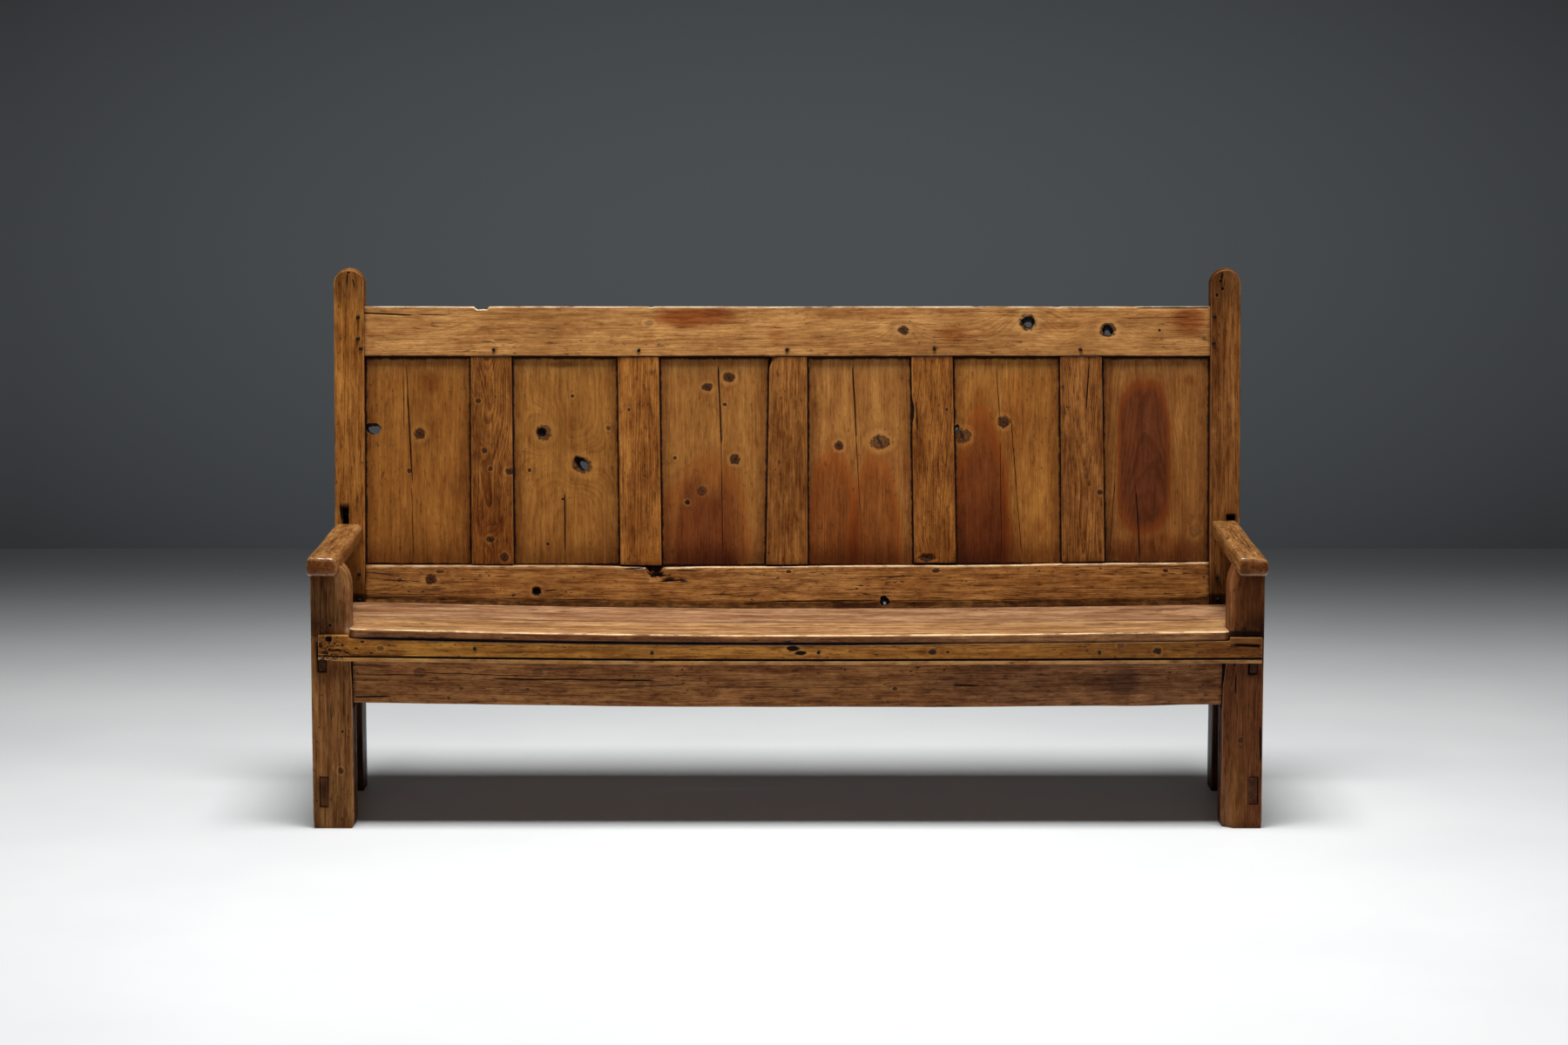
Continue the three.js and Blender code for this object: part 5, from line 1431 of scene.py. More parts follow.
    def rub_and_sheen(u, v, n):
        inside = smooth(W - .0016, W - .0004, v) * (n > -T * .95) * smooth(.404, .430, u)
        corner = smooth(W - .0040, W - .0010, v) * smooth(-.0040, -.0010, n) * (.5 + .8 * noise1(u * 26, 85 + side))
        c = worn_width(u)
        sloped = smooth(W - c, W - c + .003, v) * (c > .002) * (n > -T * .5) * (.55 + .6 * noise1(u * 60 + v * 40, 87 + side))
        return np.maximum(np.maximum(inside * .8, corner), np.clip(sloped, 0, 1) * np.where(u > .3, .50, .75))
    data = build_board(L, W, T, place, du=.008, dv=.007, rub_and_sheen=rub_and_sheen, r=(2.6, 2.4, 2.2, 2.2), re=(2.2, 3.0), wav=.55,
                       cracks=cracks, knots=knots, holes=holes, seed=130 + side, dirt_and_shade=dirt_and_shade, shape=shape, nmid=3, black=black,
                       ulines=[(.44, .04, .006), (.53, .03, .005), (.412, .006, .002)] + ([(.08, .08, .006)] if side > 0 else []), vlines=[(W - .012, .012, .003)])
    mat = pine(f"leg_pine_{tag}", knots=knots, seed=131 + 5 * side, pith=((.12, -.05) if side < 0 else (-.02, -.06)), ring=300, taper=.03, contrast=.5, wave=1.0,
               # painted shade: the first box darkens the upper leg under the arm
               stains_and_painted_light=([dict(u=.505, v=.043, ru=.085, rv=.3, tint=(.66, .66, .70), amount=.9, soft=.4, ragged=.2, box=True),
                        dict(u=uv(400, 722)[0], v=uv(400, 722)[1], ru=.024, rv=.013, tint=(1.8, 2.7, 6.0), amount=.8, soft=.9, ragged=1.3),
                        dict(u=uv(396, 690)[0], v=uv(396, 690)[1], ru=.060, rv=.014, tint=(1.40, 1.30, 1.30), amount=.9, soft=.8, ragged=1.0),
                        dict(u=.04, v=.043, ru=.09, rv=.3, tint=(.84, .90, .92), amount=.9, soft=.8, ragged=.4, box=True)] if side < 0 else
                       # painted shade: the first box darkens the upper leg under the arm
                       [dict(u=.505, v=.043, ru=.085, rv=.3, tint=(.88, .84, .66), amount=.9, soft=.4, ragged=.2, box=True),
                        dict(u=uv(1414, 684)[0], v=uv(1414, 684)[1], ru=.062, rv=.0095, tint=(1.55, 1.80, 2.1), amount=.9, soft=.7, ragged=.8),
                        # painted shade: a near-black band on the leg just above the strip's end
                        dict(u=.4125, v=.045, ru=.0105, rv=.3, tint=(.16, .15, .16), amount=.95, soft=.55, ragged=.55, grain=(60.0, 60.0, 60.0), box=True),
                        dict(u=.08, v=.060, ru=.16, rv=.04, tint=(1.28, 1.48, 1.30), amount=.9, soft=.9, ragged=.5)]),
               early=((0.345, 0.168, 0.068) if side < 0 else (0.30, 0.135, 0.052)), late=(0.15, 0.055, 0.018), tone=.95, blotch=.32, grime_shade_gain=.6, red=.12, rough=.52,
               wear_sheen_gain=.75, dashes=.8, worms=.25, coat=.25, grit=1.6, drift=.5, pits=1.0, long=.6, spec=.06, worn=(1.7, 1.9, 2.3))
    finish_piece(f"{tag}_leg_timber", f"{tag}_front_leg", data, mat)


def simple_bar(x0, x1, y0, y1, z0, z1, along, *, r=2.0, re=1.0, seed=0, du=.012, dv=.010, wav=.4, cracks=(), knots=(), dirt_and_shade=None):
    """A plain squared bar with its grain along 'x' or 'y'; front face up the first free axis."""
    if along == "y":
        L, W, T = y1 - y0, z1 - z0, x1 - x0

        def place(u, v, n):
            return np.stack([x1 + n, y0 + u, z0 + v], -1)
    else:
        L, W, T = x1 - x0, z1 - z0, y1 - y0

        def place(u, v, n):
            return np.stack([x0 + u, y0 - n, z0 + v], -1)
    return build_board(L, W, T, place, du=du, dv=dv, r=(r,) * 4, re=(re, re), wav=wav, seed=seed, cracks=cracks, knots=knots, dirt_and_shade=dirt_and_shade, nmid=2)


def make_side_bars(side, tag):
    def sx(a, b):
        return (a, b) if side > 0 else (-b, -a)
    # lower stretcher: body between leg and post, tenons right through both
    st = dict(body=(.962, .988), tenon=(.966, .984), z=(.042, .116), tz=(.047, .110)) if side < 0 else dict(body=(.965, .991), tenon=(.969, .990), z=(.046, .116), tz=(.052, .110))
    xa, xb = sx(*st["body"])
    ck = [Crack(.03, .030, .20, .034, .5, 1.6, 1.2, seed=801 + side), Crack(.12, .052, .31, .048, .4, 1.2, 1.0, seed=805 + side), Crack(.0, .018, .12, .020, .4, 1.0, .8, seed=807 + side)]
    body = simple_bar(xa, xb, YS + .0683, YS + .3997, st["z"][0], st["z"][1], "y", r=3.2, seed=140 + side, cracks=ck, wav=.7)
    ta, tb = sx(*st["tenon"])
    m = 0.0011
    t1 = simple_bar(ta + m, tb - m, YS - 0.0004, YS + .0690, st["tz"][0] + m, st["tz"][1] - m, "y", r=1.2, re=1.0, seed=141, dv=.006,
                    dirt_and_shade=lambda u, v, n: smooth(.004, .001, u) * (.66 if side < 0 else .70))
    t2 = simple_bar(ta + m, tb - m, YS + .3990, YS + .4748, st["tz"][0] + m, st["tz"][1] - m, "y", r=1.2, re=1.0, seed=142, dv=.006)
    mat = pine(f"stretcher_pine_{tag}", seed=145 + side, pith=(.02, -.06), ring=300, taper=.02, contrast=.5, early=(0.30, 0.142, 0.058), late=(0.14, 0.052, 0.017),
               blotch=.30, grime_shade_gain=.8, red=.1, rough=.52, wear_sheen_gain=.5, dashes=.8, worms=.3, coat=.1, grey=.10, spec=.06)
    finish_piece(f"{tag}_stretcher_bar", f"{tag}_lower_stretcher", join([body, t1, t2]), mat)

    sr = dict(tenon=(.966, .984), tz=(.334, .396)) if side < 0 else dict(tenon=(.968, .986), tz=(.330, .391))
    top = float(seat_under(np.array([side * .970]))[0]) - 0.0008
    xa, xb = sx(.960, .988)
    body = simple_bar(xa, xb, YS + .0683, YS + .3997, sr["tz"][0] - .006, top, "y", r=2.5, seed=150 + side,
                      cracks=[Crack(.05, .03, .25, .035, .4, 1.2, 1.0, seed=820 + side)])
    ta, tb = sx(*sr["tenon"])
    t1 = simple_bar(ta + m, tb - m, YS + .0008, YS + .0690, sr["tz"][0] + m, sr["tz"][1] - m, "y", r=1.0, re=1.0, seed=151, dv=.006,
                    dirt_and_shade=lambda u, v, n: smooth(.004, .001, u) * 1.0)
    mat = pine(f"side_rail_pine_{tag}", seed=155 + side, pith=(.02, -.05), ring=280, taper=.02, contrast=.45, early=(0.30, 0.150, 0.064), late=(0.15, 0.06, 0.02),
               blotch=.30, grime_shade_gain=1.0, rough=.56, wear_sheen_gain=.2, dashes=.7, worms=.3, coat=.03, grey=.10)
    finish_piece(f"{tag}_seat_rail_bar", f"{tag}_side_seat_rail", join([body, t1]), mat)


def make_arm(side, tag):
    slope = 0.041 if side < 0 else 0.057
    W, T = 0.062, 0.039
    y_front = -0.040
    # length along the arm to the raked post face
    z_top_end = 0.580 + (0.41 - y_front) * slope
    L = 0.453 / math.cos(math.atan(slope))
    ca, sa = math.cos(math.atan(slope)), math.sin(math.atan(slope))

    def place(u, v, n):
        x = 1.0 - v
        y = y_front + u * ca - n * sa * 0
        z = 0.580 + u * sa + n / ca * 1.0
        # cut square to the post at the rear
        yp = 0.400 + np.maximum(z - KNEE, 0) * math.tan(RAKE) - 0.0004
        y_end = y_front + L * ca
        y = y_front + (y - y_front) * (yp - y_front) / (y_end - y_front)
        return np.stack([side * x, YS + y, z], -1)

    def shape(u, v, n):
        top = smooth(-T * .5, 0, n)
        if side > 0:
            # hand-worn: the outer top edge of this arm is rubbed down, its inner rear corner too
            k = smooth(.040, .0, v) * smooth(L, L * .25, u)
            n = n - 0.0035 * k * top
            v2 = v + 0.0035 * smooth(.02, 0, v) * smooth(L * .2, L * .9, u)
            n = n + 0.0008 * np.sin(u * 23) * top
            v = v2
        else:
            n = n - 0.0016 * smooth(.046, .062, v) * top * (0.6 + .4 * np.sin(u * 17))
            n = n + 0.0008 * np.sin(u * 19 + 1) * top
        return u, v, n
    ck = []
    if side < 0:
        ck = [Crack(.10, .018, .22, .020, .35, .9, 1.0, seed=901), Crack(.24, .034, .40, .032, .3, .8, 1.0, seed=902), Crack(.05, .045, .18, .044, .25, .6, .8, seed=903), Crack(.30, .012, .44, .013, .3, .9, .8, seed=904)]
        kn = [knot(.30, .050, .006, .004, "red", geo=False), knot(.12, .030, .004, .003, "tan", geo=False)]
    else:
        ck = [Crack(.06, .020, .30, .022, .45, 1.3, 1.8, seed=911), Crack(.14, .030, .38, .033, .4, 1.1, 2.2, seed=912), Crack(.10, .012, .26, .013, .35, .9, 1.4, seed=913), Crack(.24, .042, .42, .040, .35, .9, 1.6, seed=914),
              Crack(.03, .038, .12, .037, .3, .8, 1.0, seed=915)]
        kn = [knot(.235, .0555, .008, .0045, "black", geo=False, halo=1.2), knot(.36, .052, .005, .003, "red", geo=False)]

    def dirt_and_shade(u, v, n):
        d = np.exp(-np.clip(L - u, 0, 1) / 0.006) * 0.6
        d = np.maximum(d, smooth(-.030, -.038, n) * .4)
        d = np.maximum(d, smooth(.007, .002, u) * smooth(-.002, -.010, n) * .42)
        return d
    r = (12.0, 9.5, 8.5, 8.0) if side > 0 else (9.0, 10.5, 8.0, 8.5)
    body = build_board(L, W, T, place, du=.009, dv=.006, r=r, re=(9.5, 1.2), wav=.7, rvar=.22, cracks=ck, seed=160 + side, dirt_and_shade=dirt_and_shade, shape=shape, nmid=3,
                       back_cracks=0, ulines=[(.01, .012, .0018)])
    # rear tenon, loose in its mortise
    hole_x = [(0.967, 0.985), (0.970, 0.988)][side > 0]
    hz = [0.566, 0.572][side > 0]
    xa, xb = (hole_x[0] + .0008, hole_x[1] - .0008)
    if side < 0:
        xa, xb = -xb, -xa
    L2, W2, T2 = 0.080, 0.0274, xb - xa

    def place_t(u, v, n):
        w = (hz + .0006 - KNEE) / CR + v
        d = -0.014 + u
        p = back_point(np.zeros_like(u), w, d)
        return np.stack([xb + n, p[..., 1], p[..., 2]], -1)
    ten = build_board(L2, W2, T2, place_t, du=.008, dv=.006, r=(1.0,) * 4, re=(.5, 1.2), wav=.3, seed=163)
    mat = pine(f"arm_pine_{tag}", knots=kn, seed=165 + 7 * side, pith=((.03, -.09) if side < 0 else (.05, -.03)), ring=260 if side < 0 else 320, taper=.03, contrast=.42 if side < 0 else .6, wave=1.3,
               early=(0.53, 0.262, 0.092), late=(0.26, 0.094, 0.024), tone=.92, blotch=.26, grime_shade_gain=.6, red=.20, rough=.38, wear_sheen_gain=.45, dashes=.9, coat=1.0, gloss=.20, grit=1.8, drift=.6, pits=.6, spec=.08,
               stains_and_painted_light=[dict(u=-.001, v=.031, ru=.0060, rv=.3, tint=((.58, .37, .20) if side < 0 else (.66, .48, .34)), amount=.95, soft=.9, ragged=.1, box=True)])
    finish_piece(f"{tag}_arm_rest", f"{tag}_arm", join([body, ten]), mat)


# =================================================================== the seat
IN_L, IN_R = 0.9162, 0.9242     # the seat's notches beside the legs


def notch(x):
    return np.where(x < 0, IN_L, IN_R)


def gap_under_nose(x):
    """how open the gap between the seat and the strip is, and how dark its painted shade, 0 to 1"""
    return np.interp(x, [-.92, -.84, .14, .36, .92], [.25, 1, 1, .30, .12])


def make_seat_board(which):
    x0, x1 = -0.990, 0.990
    L, T = x1 - x0, 0.020
    if which == "front":
        y0, y1 = -0.008, 0.168
    else:
        y0, y1 = 0.1686, 0.388
    W = y1 - y0

    def uv(px, py):
        x, y = on_seat(px, py)
        return x - x0, y - y0
    rng = np.random.default_rng(11 if which == "front" else 12)
    cracks, knots = [], []
    if which == "front":
        spec = [(441, 709.9, 505, 710.6, .7, 1.8), (560, 716, 640, 717, .4, 1.2), (630, 711.2, 645, 711.4, .9, 2.2), (736, 715, 760, 715.4, .8, 1.8), (838, 712.0, 884, 713.2, 1.1, 2.8),
                (1126, 716, 1152, 716.2, 1.1, 2.6), (1200, 713, 1236, 713, .6, 1.6), (1236, 716.6, 1290, 715.8, .9, 2.2), (1300, 713, 1392, 711.6, .7, 1.8), (960, 720, 1040, 721, .45, 1.3),
                (690, 722, 760, 723, .4, 1.1), (1290, 721.4, 1350, 720, .6, 1.5), (455, 719, 520, 720, .45, 1.2), (404, 714.6, 436, 715, .8, 2.0)]
    else:
        spec = [(632, 701.6, 660, 701.9, .9, 2.2), (480, 700, 560, 701, .4, 1.1), (845, 706.2, 882, 707.4, 1.1, 2.8), (1000, 703.6, 1080, 704, .6, 1.5), (1150, 702.2, 1260, 701.6, .6, 1.5),
                (1280, 699.6, 1390, 697.8, .6, 1.5), (700, 704, 790, 705, .5, 1.3), (905, 699.6, 960, 699.8, .5, 1.2), (420, 697, 470, 698, .5, 1.2)]
    for j, (xa, ya, xb, yb, w, depth) in enumerate(spec):
        (a, b), (c, d) = uv(xa, ya), uv(xb, yb)
        if 0.004 < min(b, d) and max(b, d) < W - 0.004:
            cracks.append(Crack(a, b, c, d, w * 2.3, depth * 1.4, 2.2, seed=1000 + j + (0 if which == "front" else 40), smear=.35))
    # keep cracks apart enough for the lattice
    kept = []
    for c in cracks:
        if all(abs(c.vc - o.vc) > 0.0050 for o in kept):
            kept.append(c)
    cracks = kept
    if which == "front":
        for px, py, ru, rv in [(905, 712, .010, .006), (560, 726, .006, .004), (1290, 712, .008, .005)]:
            a, b = uv(px, py)
            knots.append(knot(a, b, ru, rv, "tan", geo=False))
    else:
        for px, py, ru, rv in [(612, 700, .012, .008), (1130, 700, .010, .007), (1330, 702, .008, .006)]:
            a, b = uv(px, py)
            knots.append(knot(a, b, ru, rv, "red", geo=False))

    def shape(u, v, n):
        x = x0 + u
        if which == "front":
            # rounded worn nose with small nicks; joint edge slightly eased
            for c, wd, dp in ((1130, .010, .0016), (905, .008, .0010), (600, .012, .0014), (470, .010, .0016), (1330, .010, .0012), (740, .010, .0010)):
                cc = uv(c, 728)[0]
                v = v + smooth(0.016, 0, v) * np.exp(-((u - cc) / wd) ** 2) * dp
            v = v + smooth(.03, 0, v) * 0.0008 * noise1(u * 6, 41)
            # chamfered corners beside the legs
            side_, IN = np.abs(x), notch(x)
            k = smooth(IN - .010, IN, side_) * smooth(.016, 0, v) * (side_ < IN + .0005)
            v = v + 0.0075 * k
            # the far part beyond the legs starts behind them
            t = (side_ > IN).astype(float)
            v = np.where(t > 0, (0.0766) + v * (W - 0.0766) / W, v)
        # dished where people sit
        n = n - 0.0012 * (0.5 + 0.5 * np.cos(np.clip(x / 0.85, -1, 1) * np.pi)) * (n > -T * .5)
        return u, v, n

    def place(u, v, n):
        x = x0 + u
        return np.stack([x, YS + y0 + v, seat_top(x) + n], -1)

    def dirt_and_shade(u, v, n):
        x = x0 + u
        if which == "front":
            d = np.exp(-np.clip(W - v, 0, 1) / 0.0040) * 1.0
            d = np.maximum(d, np.exp(-np.clip(np.abs(notch(x) - np.abs(x)), 0, 1) / 0.006) * .5 * (v < .085))
        else:
            d = np.exp(-np.clip(v, 0, 1) / 0.0040) * 1.0
            d = np.maximum(d, np.exp(-np.clip(W - v, 0, 1) / 0.016) * .42)
        d = np.maximum(d, smooth(-T * .7, -T, n) * .5)
        d = np.maximum(d, smooth(.93, .99, np.abs(x)) * .3)
        return d

    # painted highlight: on the nose's top edge the worn colour is raised into a bright line; on the rest of the top it
    # is halved, and on the lower nose it is taken away
    def worn(u, v, n):
        return 2.6 * smooth(-.0028, -.0012, n) * (v < .010) + .5 * (v > .010) * (n > -.004)

    # painted shade on the lower half of the nose, deeper where the gap below it is open
    def under(u, v, n):
        return smooth(-.0022, -.0040, n) * smooth(.012, .004, v) * (.70 + .30 * gap_under_nose(x0 + u))

    def black(u, v, n):
        e = (W - v) if which == "front" else v
        k = np.exp(-np.clip(e, 0, 1) / 0.0016) * (n < -.0006) * (.75 + .5 * noise1(u * 9, 21))
        if which == "front":
            # painted shade: a black line along the nose's lower edge, over the gap above the strip
            k = np.maximum(k, smooth(-.0160, -.0174, n + .0010 * noise1(u * 30, 23)) * smooth(.02, .01, v) * gap_under_nose(x0 + u))
        return k
    ul = [(IN_R - x0, .0016, .0004), (-IN_L - x0, .0016, .0004), (IN_R - .01 - x0, .012, .003), (-IN_L + .01 - x0, .012, .003)] if which == "front" else []
    data = build_board(L, W, T, place, du=.012, dv=.008, r=((4.6, 3.2, 2.4, 1) if which == "front" else (3.2, 2.0, 1, 1.5)), re=(1.5, 1.5), wav=.6, rvar=.25,
                       cracks=cracks, knots=knots, seed=170 + len(which), dirt_and_shade=dirt_and_shade, shape=shape, ulines=ul, nmid=3, back_cracks=.5, black=black, worn=worn, under=under if which == "front" else None)
    if which == "front":
        # the pale worn colour paints the nose's highlight, and the underside tint its painted shade
        mat = pine("seat_pine_front", knots=knots, seed=171, pith=(-.10, -.05), ring=230, taper=.008, contrast=.40, wave=.8, early=(0.60, 0.335, 0.150), late=(0.36, 0.160, 0.052),
                   tone=.96, blotch=.20, grime_shade_gain=.7, red=.18, rough=.43, wear_sheen_gain=1.0, dashes=1.0, coat=.9, spec=.16, grit=1.7, drift=.85, pits=.55, checks=(3.2, 88.0, .65, .55), underside_shade_tint=(.42, .29, .20), worn=(2.4, 2.9, 3.8))
    else:
        mat = pine("seat_pine_back", knots=knots, seed=177, pith=(.34, -.06), ring=230, taper=.008, contrast=.42, wave=.9, early=(0.50, 0.272, 0.140), late=(0.31, 0.138, 0.056),
                   tone=.92, blotch=.22, grime_shade_gain=.7, red=.24, rough=.47, wear_sheen_gain=.6, dashes=1.0, coat=.5, spec=.16, grit=1.7, drift=.95, pits=.55, checks=(3.2, 80.0, .65, .55))
    finish_piece(f"seat_{which}_plank", f"seat_{which}_board", data, mat)


def make_strip():
    x0, x1 = -0.982, 0.993
    L, W, T = x1 - x0, 0.050, 0.0155
    y0 = -0.011

    def top_z(x):
        inside = seat_under(x) - 0.0004 - 0.0012 * gap_under_nose(x)
        end = np.where(x < 0, 0.413, 0.408)
        t = smooth(0.0008, 0.0030, np.abs(x) - notch(x))
        return inside * (1 - t) + end * t

    def uv(px, py):
        x, z = on_plane(px, py, y0)
        lo, hi = float(strip_low(np.array([x]))[0]), float(top_z(np.array([x]))[0])
        return x - x0, (z - lo) / (hi - lo) * W
    knots, cracks = [], []
    for px, py, rx, ry, kind, kw in [(910, 745, 7, 4, "black", {"pit": 1.5, "halo": 1.0}), (919, 750, 6, 3, "black", {"pit": 2.0, "halo": .8}), (1070.5, 748.5, 4.8, 3.7, "black", {"halo": .9}), (1328.6, 747.6, 4.4, 4.1, "black", {"halo": 1.1}),
                                     (1088, 749, 2.2, 2, "black", {"geo": False}), (1286, 741, 4, 3, "tan", {"geo": False}), (437, 744.5, 3.8, 2.6, "tan", {"geo": False}), (416, 737, 2.4, 1.6, "black", {"geo": False}),
                                     (377, 734, 3.8, 3.0, "black", {"pit": 1.5, "halo": .6}), (388, 746.5, 4.5, 1.4, "black", {"geo": False, "halo": .3}), (368, 741, 2.2, 2.6, "black", {"geo": False, "halo": 0}), (393, 741, 1.5, 1.3, "black", {"geo": False, "halo": 0}),
                                     (399, 749.5, 3.4, 1.2, "black", {"geo": False, "halo": 0}), (409, 744.5, 2.2, 1.2, "red", {"geo": False, "halo": 0}), (384, 739, 1.4, 1.2, "black", {"geo": False, "halo": 0}), (426, 750, 2.2, 1.0, "black", {"geo": False, "halo": 0}),
                                     (447, 741, 1.6, 1.0, "black", {"geo": False, "halo": 0}), (373, 749.5, 4.0, 1.8, "black", {"geo": False, "halo": 0}),
                                     (1417, 742.2, 5.0, 1.5, "black", {"geo": False, "halo": 0, "bow": 0}), (1428, 741.4, 5.5, 1.2, "black", {"geo": False, "halo": 0, "bow": 0}),
                                     (1440, 741.6, 6.5, 1.5, "black", {"geo": False, "halo": 0, "bow": 0})]:
        a, b = uv(px, py)
        knots.append(knot(a, b, rx * 0.00183, ry * 0.00183, kind, **kw))
    for j, (xa, ya, xb, yb, w, depth) in enumerate([
            (1412.5, 741.8, 1447, 742.0, 1.6, 5.0), (372, 747.5, 395, 746.8, .9, 2.6), (395, 750.6, 470, 752.8, .5, 1.4), (446, 746.8, 454, 747.4, .6, 1.6), (470, 738, 560, 739, .3, .8),
            (600, 742, 700, 743.5, .25, .7), (1000, 743, 1060, 742.6, .25, .6), (1110, 745, 1230, 744, .3, .8), (1000, 751.5, 1010, 751.7, .6, 1.5), (1340, 747.6, 1400, 746.8, .3, .9), (800, 752, 880, 752.6, .25, .7)]):
        (a, b), (c, d) = uv(xa, ya), uv(xb, yb)
        cracks.append(Crack(a, b, c, d, w, depth, .7, seed=1200 + j, open1=xb > 1446))
    BEAD = 0.0086
    GR = 0.0019

    def shape(u, v, n):
        x = x0 + u
        lo, hi = strip_low(x), top_z(x)
        zz = v / W * (hi - lo)
        fr = smooth(-T * .45, -T * .15, n)
        groove = np.exp(-(((zz - BEAD - GR) / GR) ** 4))
        worn = 1 - 0.6 * np.exp(-((x + .95) / .05) ** 2)
        n = n - 0.0042 * groove * fr * worn
        # half-round bead under the groove
        t = np.clip((zz - BEAD / 2) / (BEAD / 2), -1, 1)
        b = (zz < BEAD + GR * .5)
        n = n - b * fr * 0.0022 * (1 - np.sqrt(np.clip(1 - t * t * .96, 0, 1)))
        # eaten-away left end
        k = np.exp(-((x + .965) / .030) ** 2) * fr
        n = n - 0.0026 * k * np.clip(fbm(u * 160, v * 200, np.zeros_like(u), 66, 3), -.4, 1.2)
        k2 = np.exp(-((x + .975) / .020) ** 2) * smooth(.016, 0, v)
        v = v + 0.004 * k2 * (1 + .6 * noise1(u * 260, 67))
        return u, v, n

    def place(u, v, n):
        x = x0 + u
        lo, hi = strip_low(x), top_z(x)
        return np.stack([x, YS + y0 - n, lo + v / W * (hi - lo)], -1)

    def dirt_and_shade(u, v, n):
        x = x0 + u
        lo, hi = strip_low(x), top_z(x)
        zz = v / W * (hi - lo)
        d = np.exp(-(((zz - BEAD - GR) / 0.0020) ** 2)) * 1.0
        # painted shade along the top edge, under the gap below the seat's nose
        d = np.maximum(d, np.exp(-np.clip(W - v, 0, 1) / 0.0022) * (.40 + .45 * gap_under_nose(x)) * (np.abs(x) < notch(x) + .002))
        d = np.maximum(d, np.exp(-((x + .96) / .05) ** 2) * .30)
        return d * (zz > BEAD * .9)

    def black(u, v, n):
        x = x0 + u
        lo, hi = strip_low(x), top_z(x)
        zz = v / W * (hi - lo)
        k = np.exp(-(((zz - BEAD - GR) / 0.0020) ** 2)) * (n > -T * .5) * (1 - 0.5 * np.exp(-((x + .95) / .05) ** 2)) * 1.15
        # painted shade: black along the top edge, in the gap under the seat's nose
        top = smooth(.0016, .0006, W - v + .0005 * noise1(u * 25, 27)) * (np.abs(x) < notch(x)) * gap_under_nose(x)
        # rotten left end
        rot = np.exp(-((x + .955) / .030) ** 2) * smooth(.34, .66, fbm(u * 250, v * 300, np.zeros_like(u), 68, 2)) * (n > -T * .5) * .8
        k = np.maximum(k, rot)
        return np.clip(np.maximum(k, top), 0, 1)

    def rubbed(u, v, n):
        x = x0 + u
        zz = v / W * (top_z(x) - strip_low(x))
        return smooth(BEAD * 1.02, BEAD * .80, zz) * smooth(-T * .5, -T * .2, n) * (.75 + .35 * noise1(u * 14, 29))
    vl = [(W * .62, W * .30, .0024), (W - .0030, .0026, .0008), ((BEAD + GR) / .0425 * W, .0046, .0008), (BEAD / 2 / .0425 * W, .005, .0011)]
    data = build_board(L, W, T, place, du=.008, dv=.007, r=(1.2, 1.6, 1, 1), re=(1.6, 1.6), wav=.35, cracks=cracks, knots=knots,
                       seed=180, dirt_and_shade=dirt_and_shade, shape=shape, vlines=vl, nmid=2, black=black, rub_and_sheen=rubbed, ulines=[(IN_R - x0 + .002, .004, .0008), (-IN_L - x0 - .002, .004, .0008), (.03, .03, .0025)])
    mat = pine("strip_pine", knots=knots, seed=181, pith=(.20, -.08), ring=230, taper=.01, contrast=.35, wave=.8, early=(0.50, 0.262, 0.074), late=(0.28, 0.115, 0.028), tone=1.0,
               blotch=.2, grime_shade_gain=.65, red=.10, rough=.46, wear_sheen_gain=.6, dashes=1.0, worms=.0, coat=.5, grit=1.6, drift=.5, pits=1.0, worn=(1.55, 2.1, 4.2),
               stains_and_painted_light=[dict(u=.045, v=W / 2, ru=.07, rv=.05, tint=(1.15, 1.05, .8), amount=.5, soft=.6, ragged=.6),
                       dict(u=uv(1064, 749)[0], v=uv(1064, 749)[1], ru=.034, rv=.011, tint=(.50, .36, .34), amount=.9, soft=.8, ragged=.9),
                       dict(u=uv(1326, 749)[0], v=uv(1326, 749)[1], ru=.026, rv=.010, tint=(.55, .42, .40), amount=.85, soft=.8, ragged=.9),
                       dict(u=.35, v=W / 2, ru=.42, rv=.2, tint=(1.18, 1.26, 1.12), amount=.9, soft=.9, ragged=.5),
                       dict(u=L - .10, v=W / 2, ru=.40, rv=.3, tint=(.66, .64, .62), amount=.95, soft=.9, ragged=.5),
                       dict(u=L - .05, v=W / 2, ru=.09, rv=.05, tint=(.80, .66, .70), amount=.75, soft=.5, ragged=.5)])
    finish_piece("edge_strip_moulding", "seat_edge_strip", data, mat)


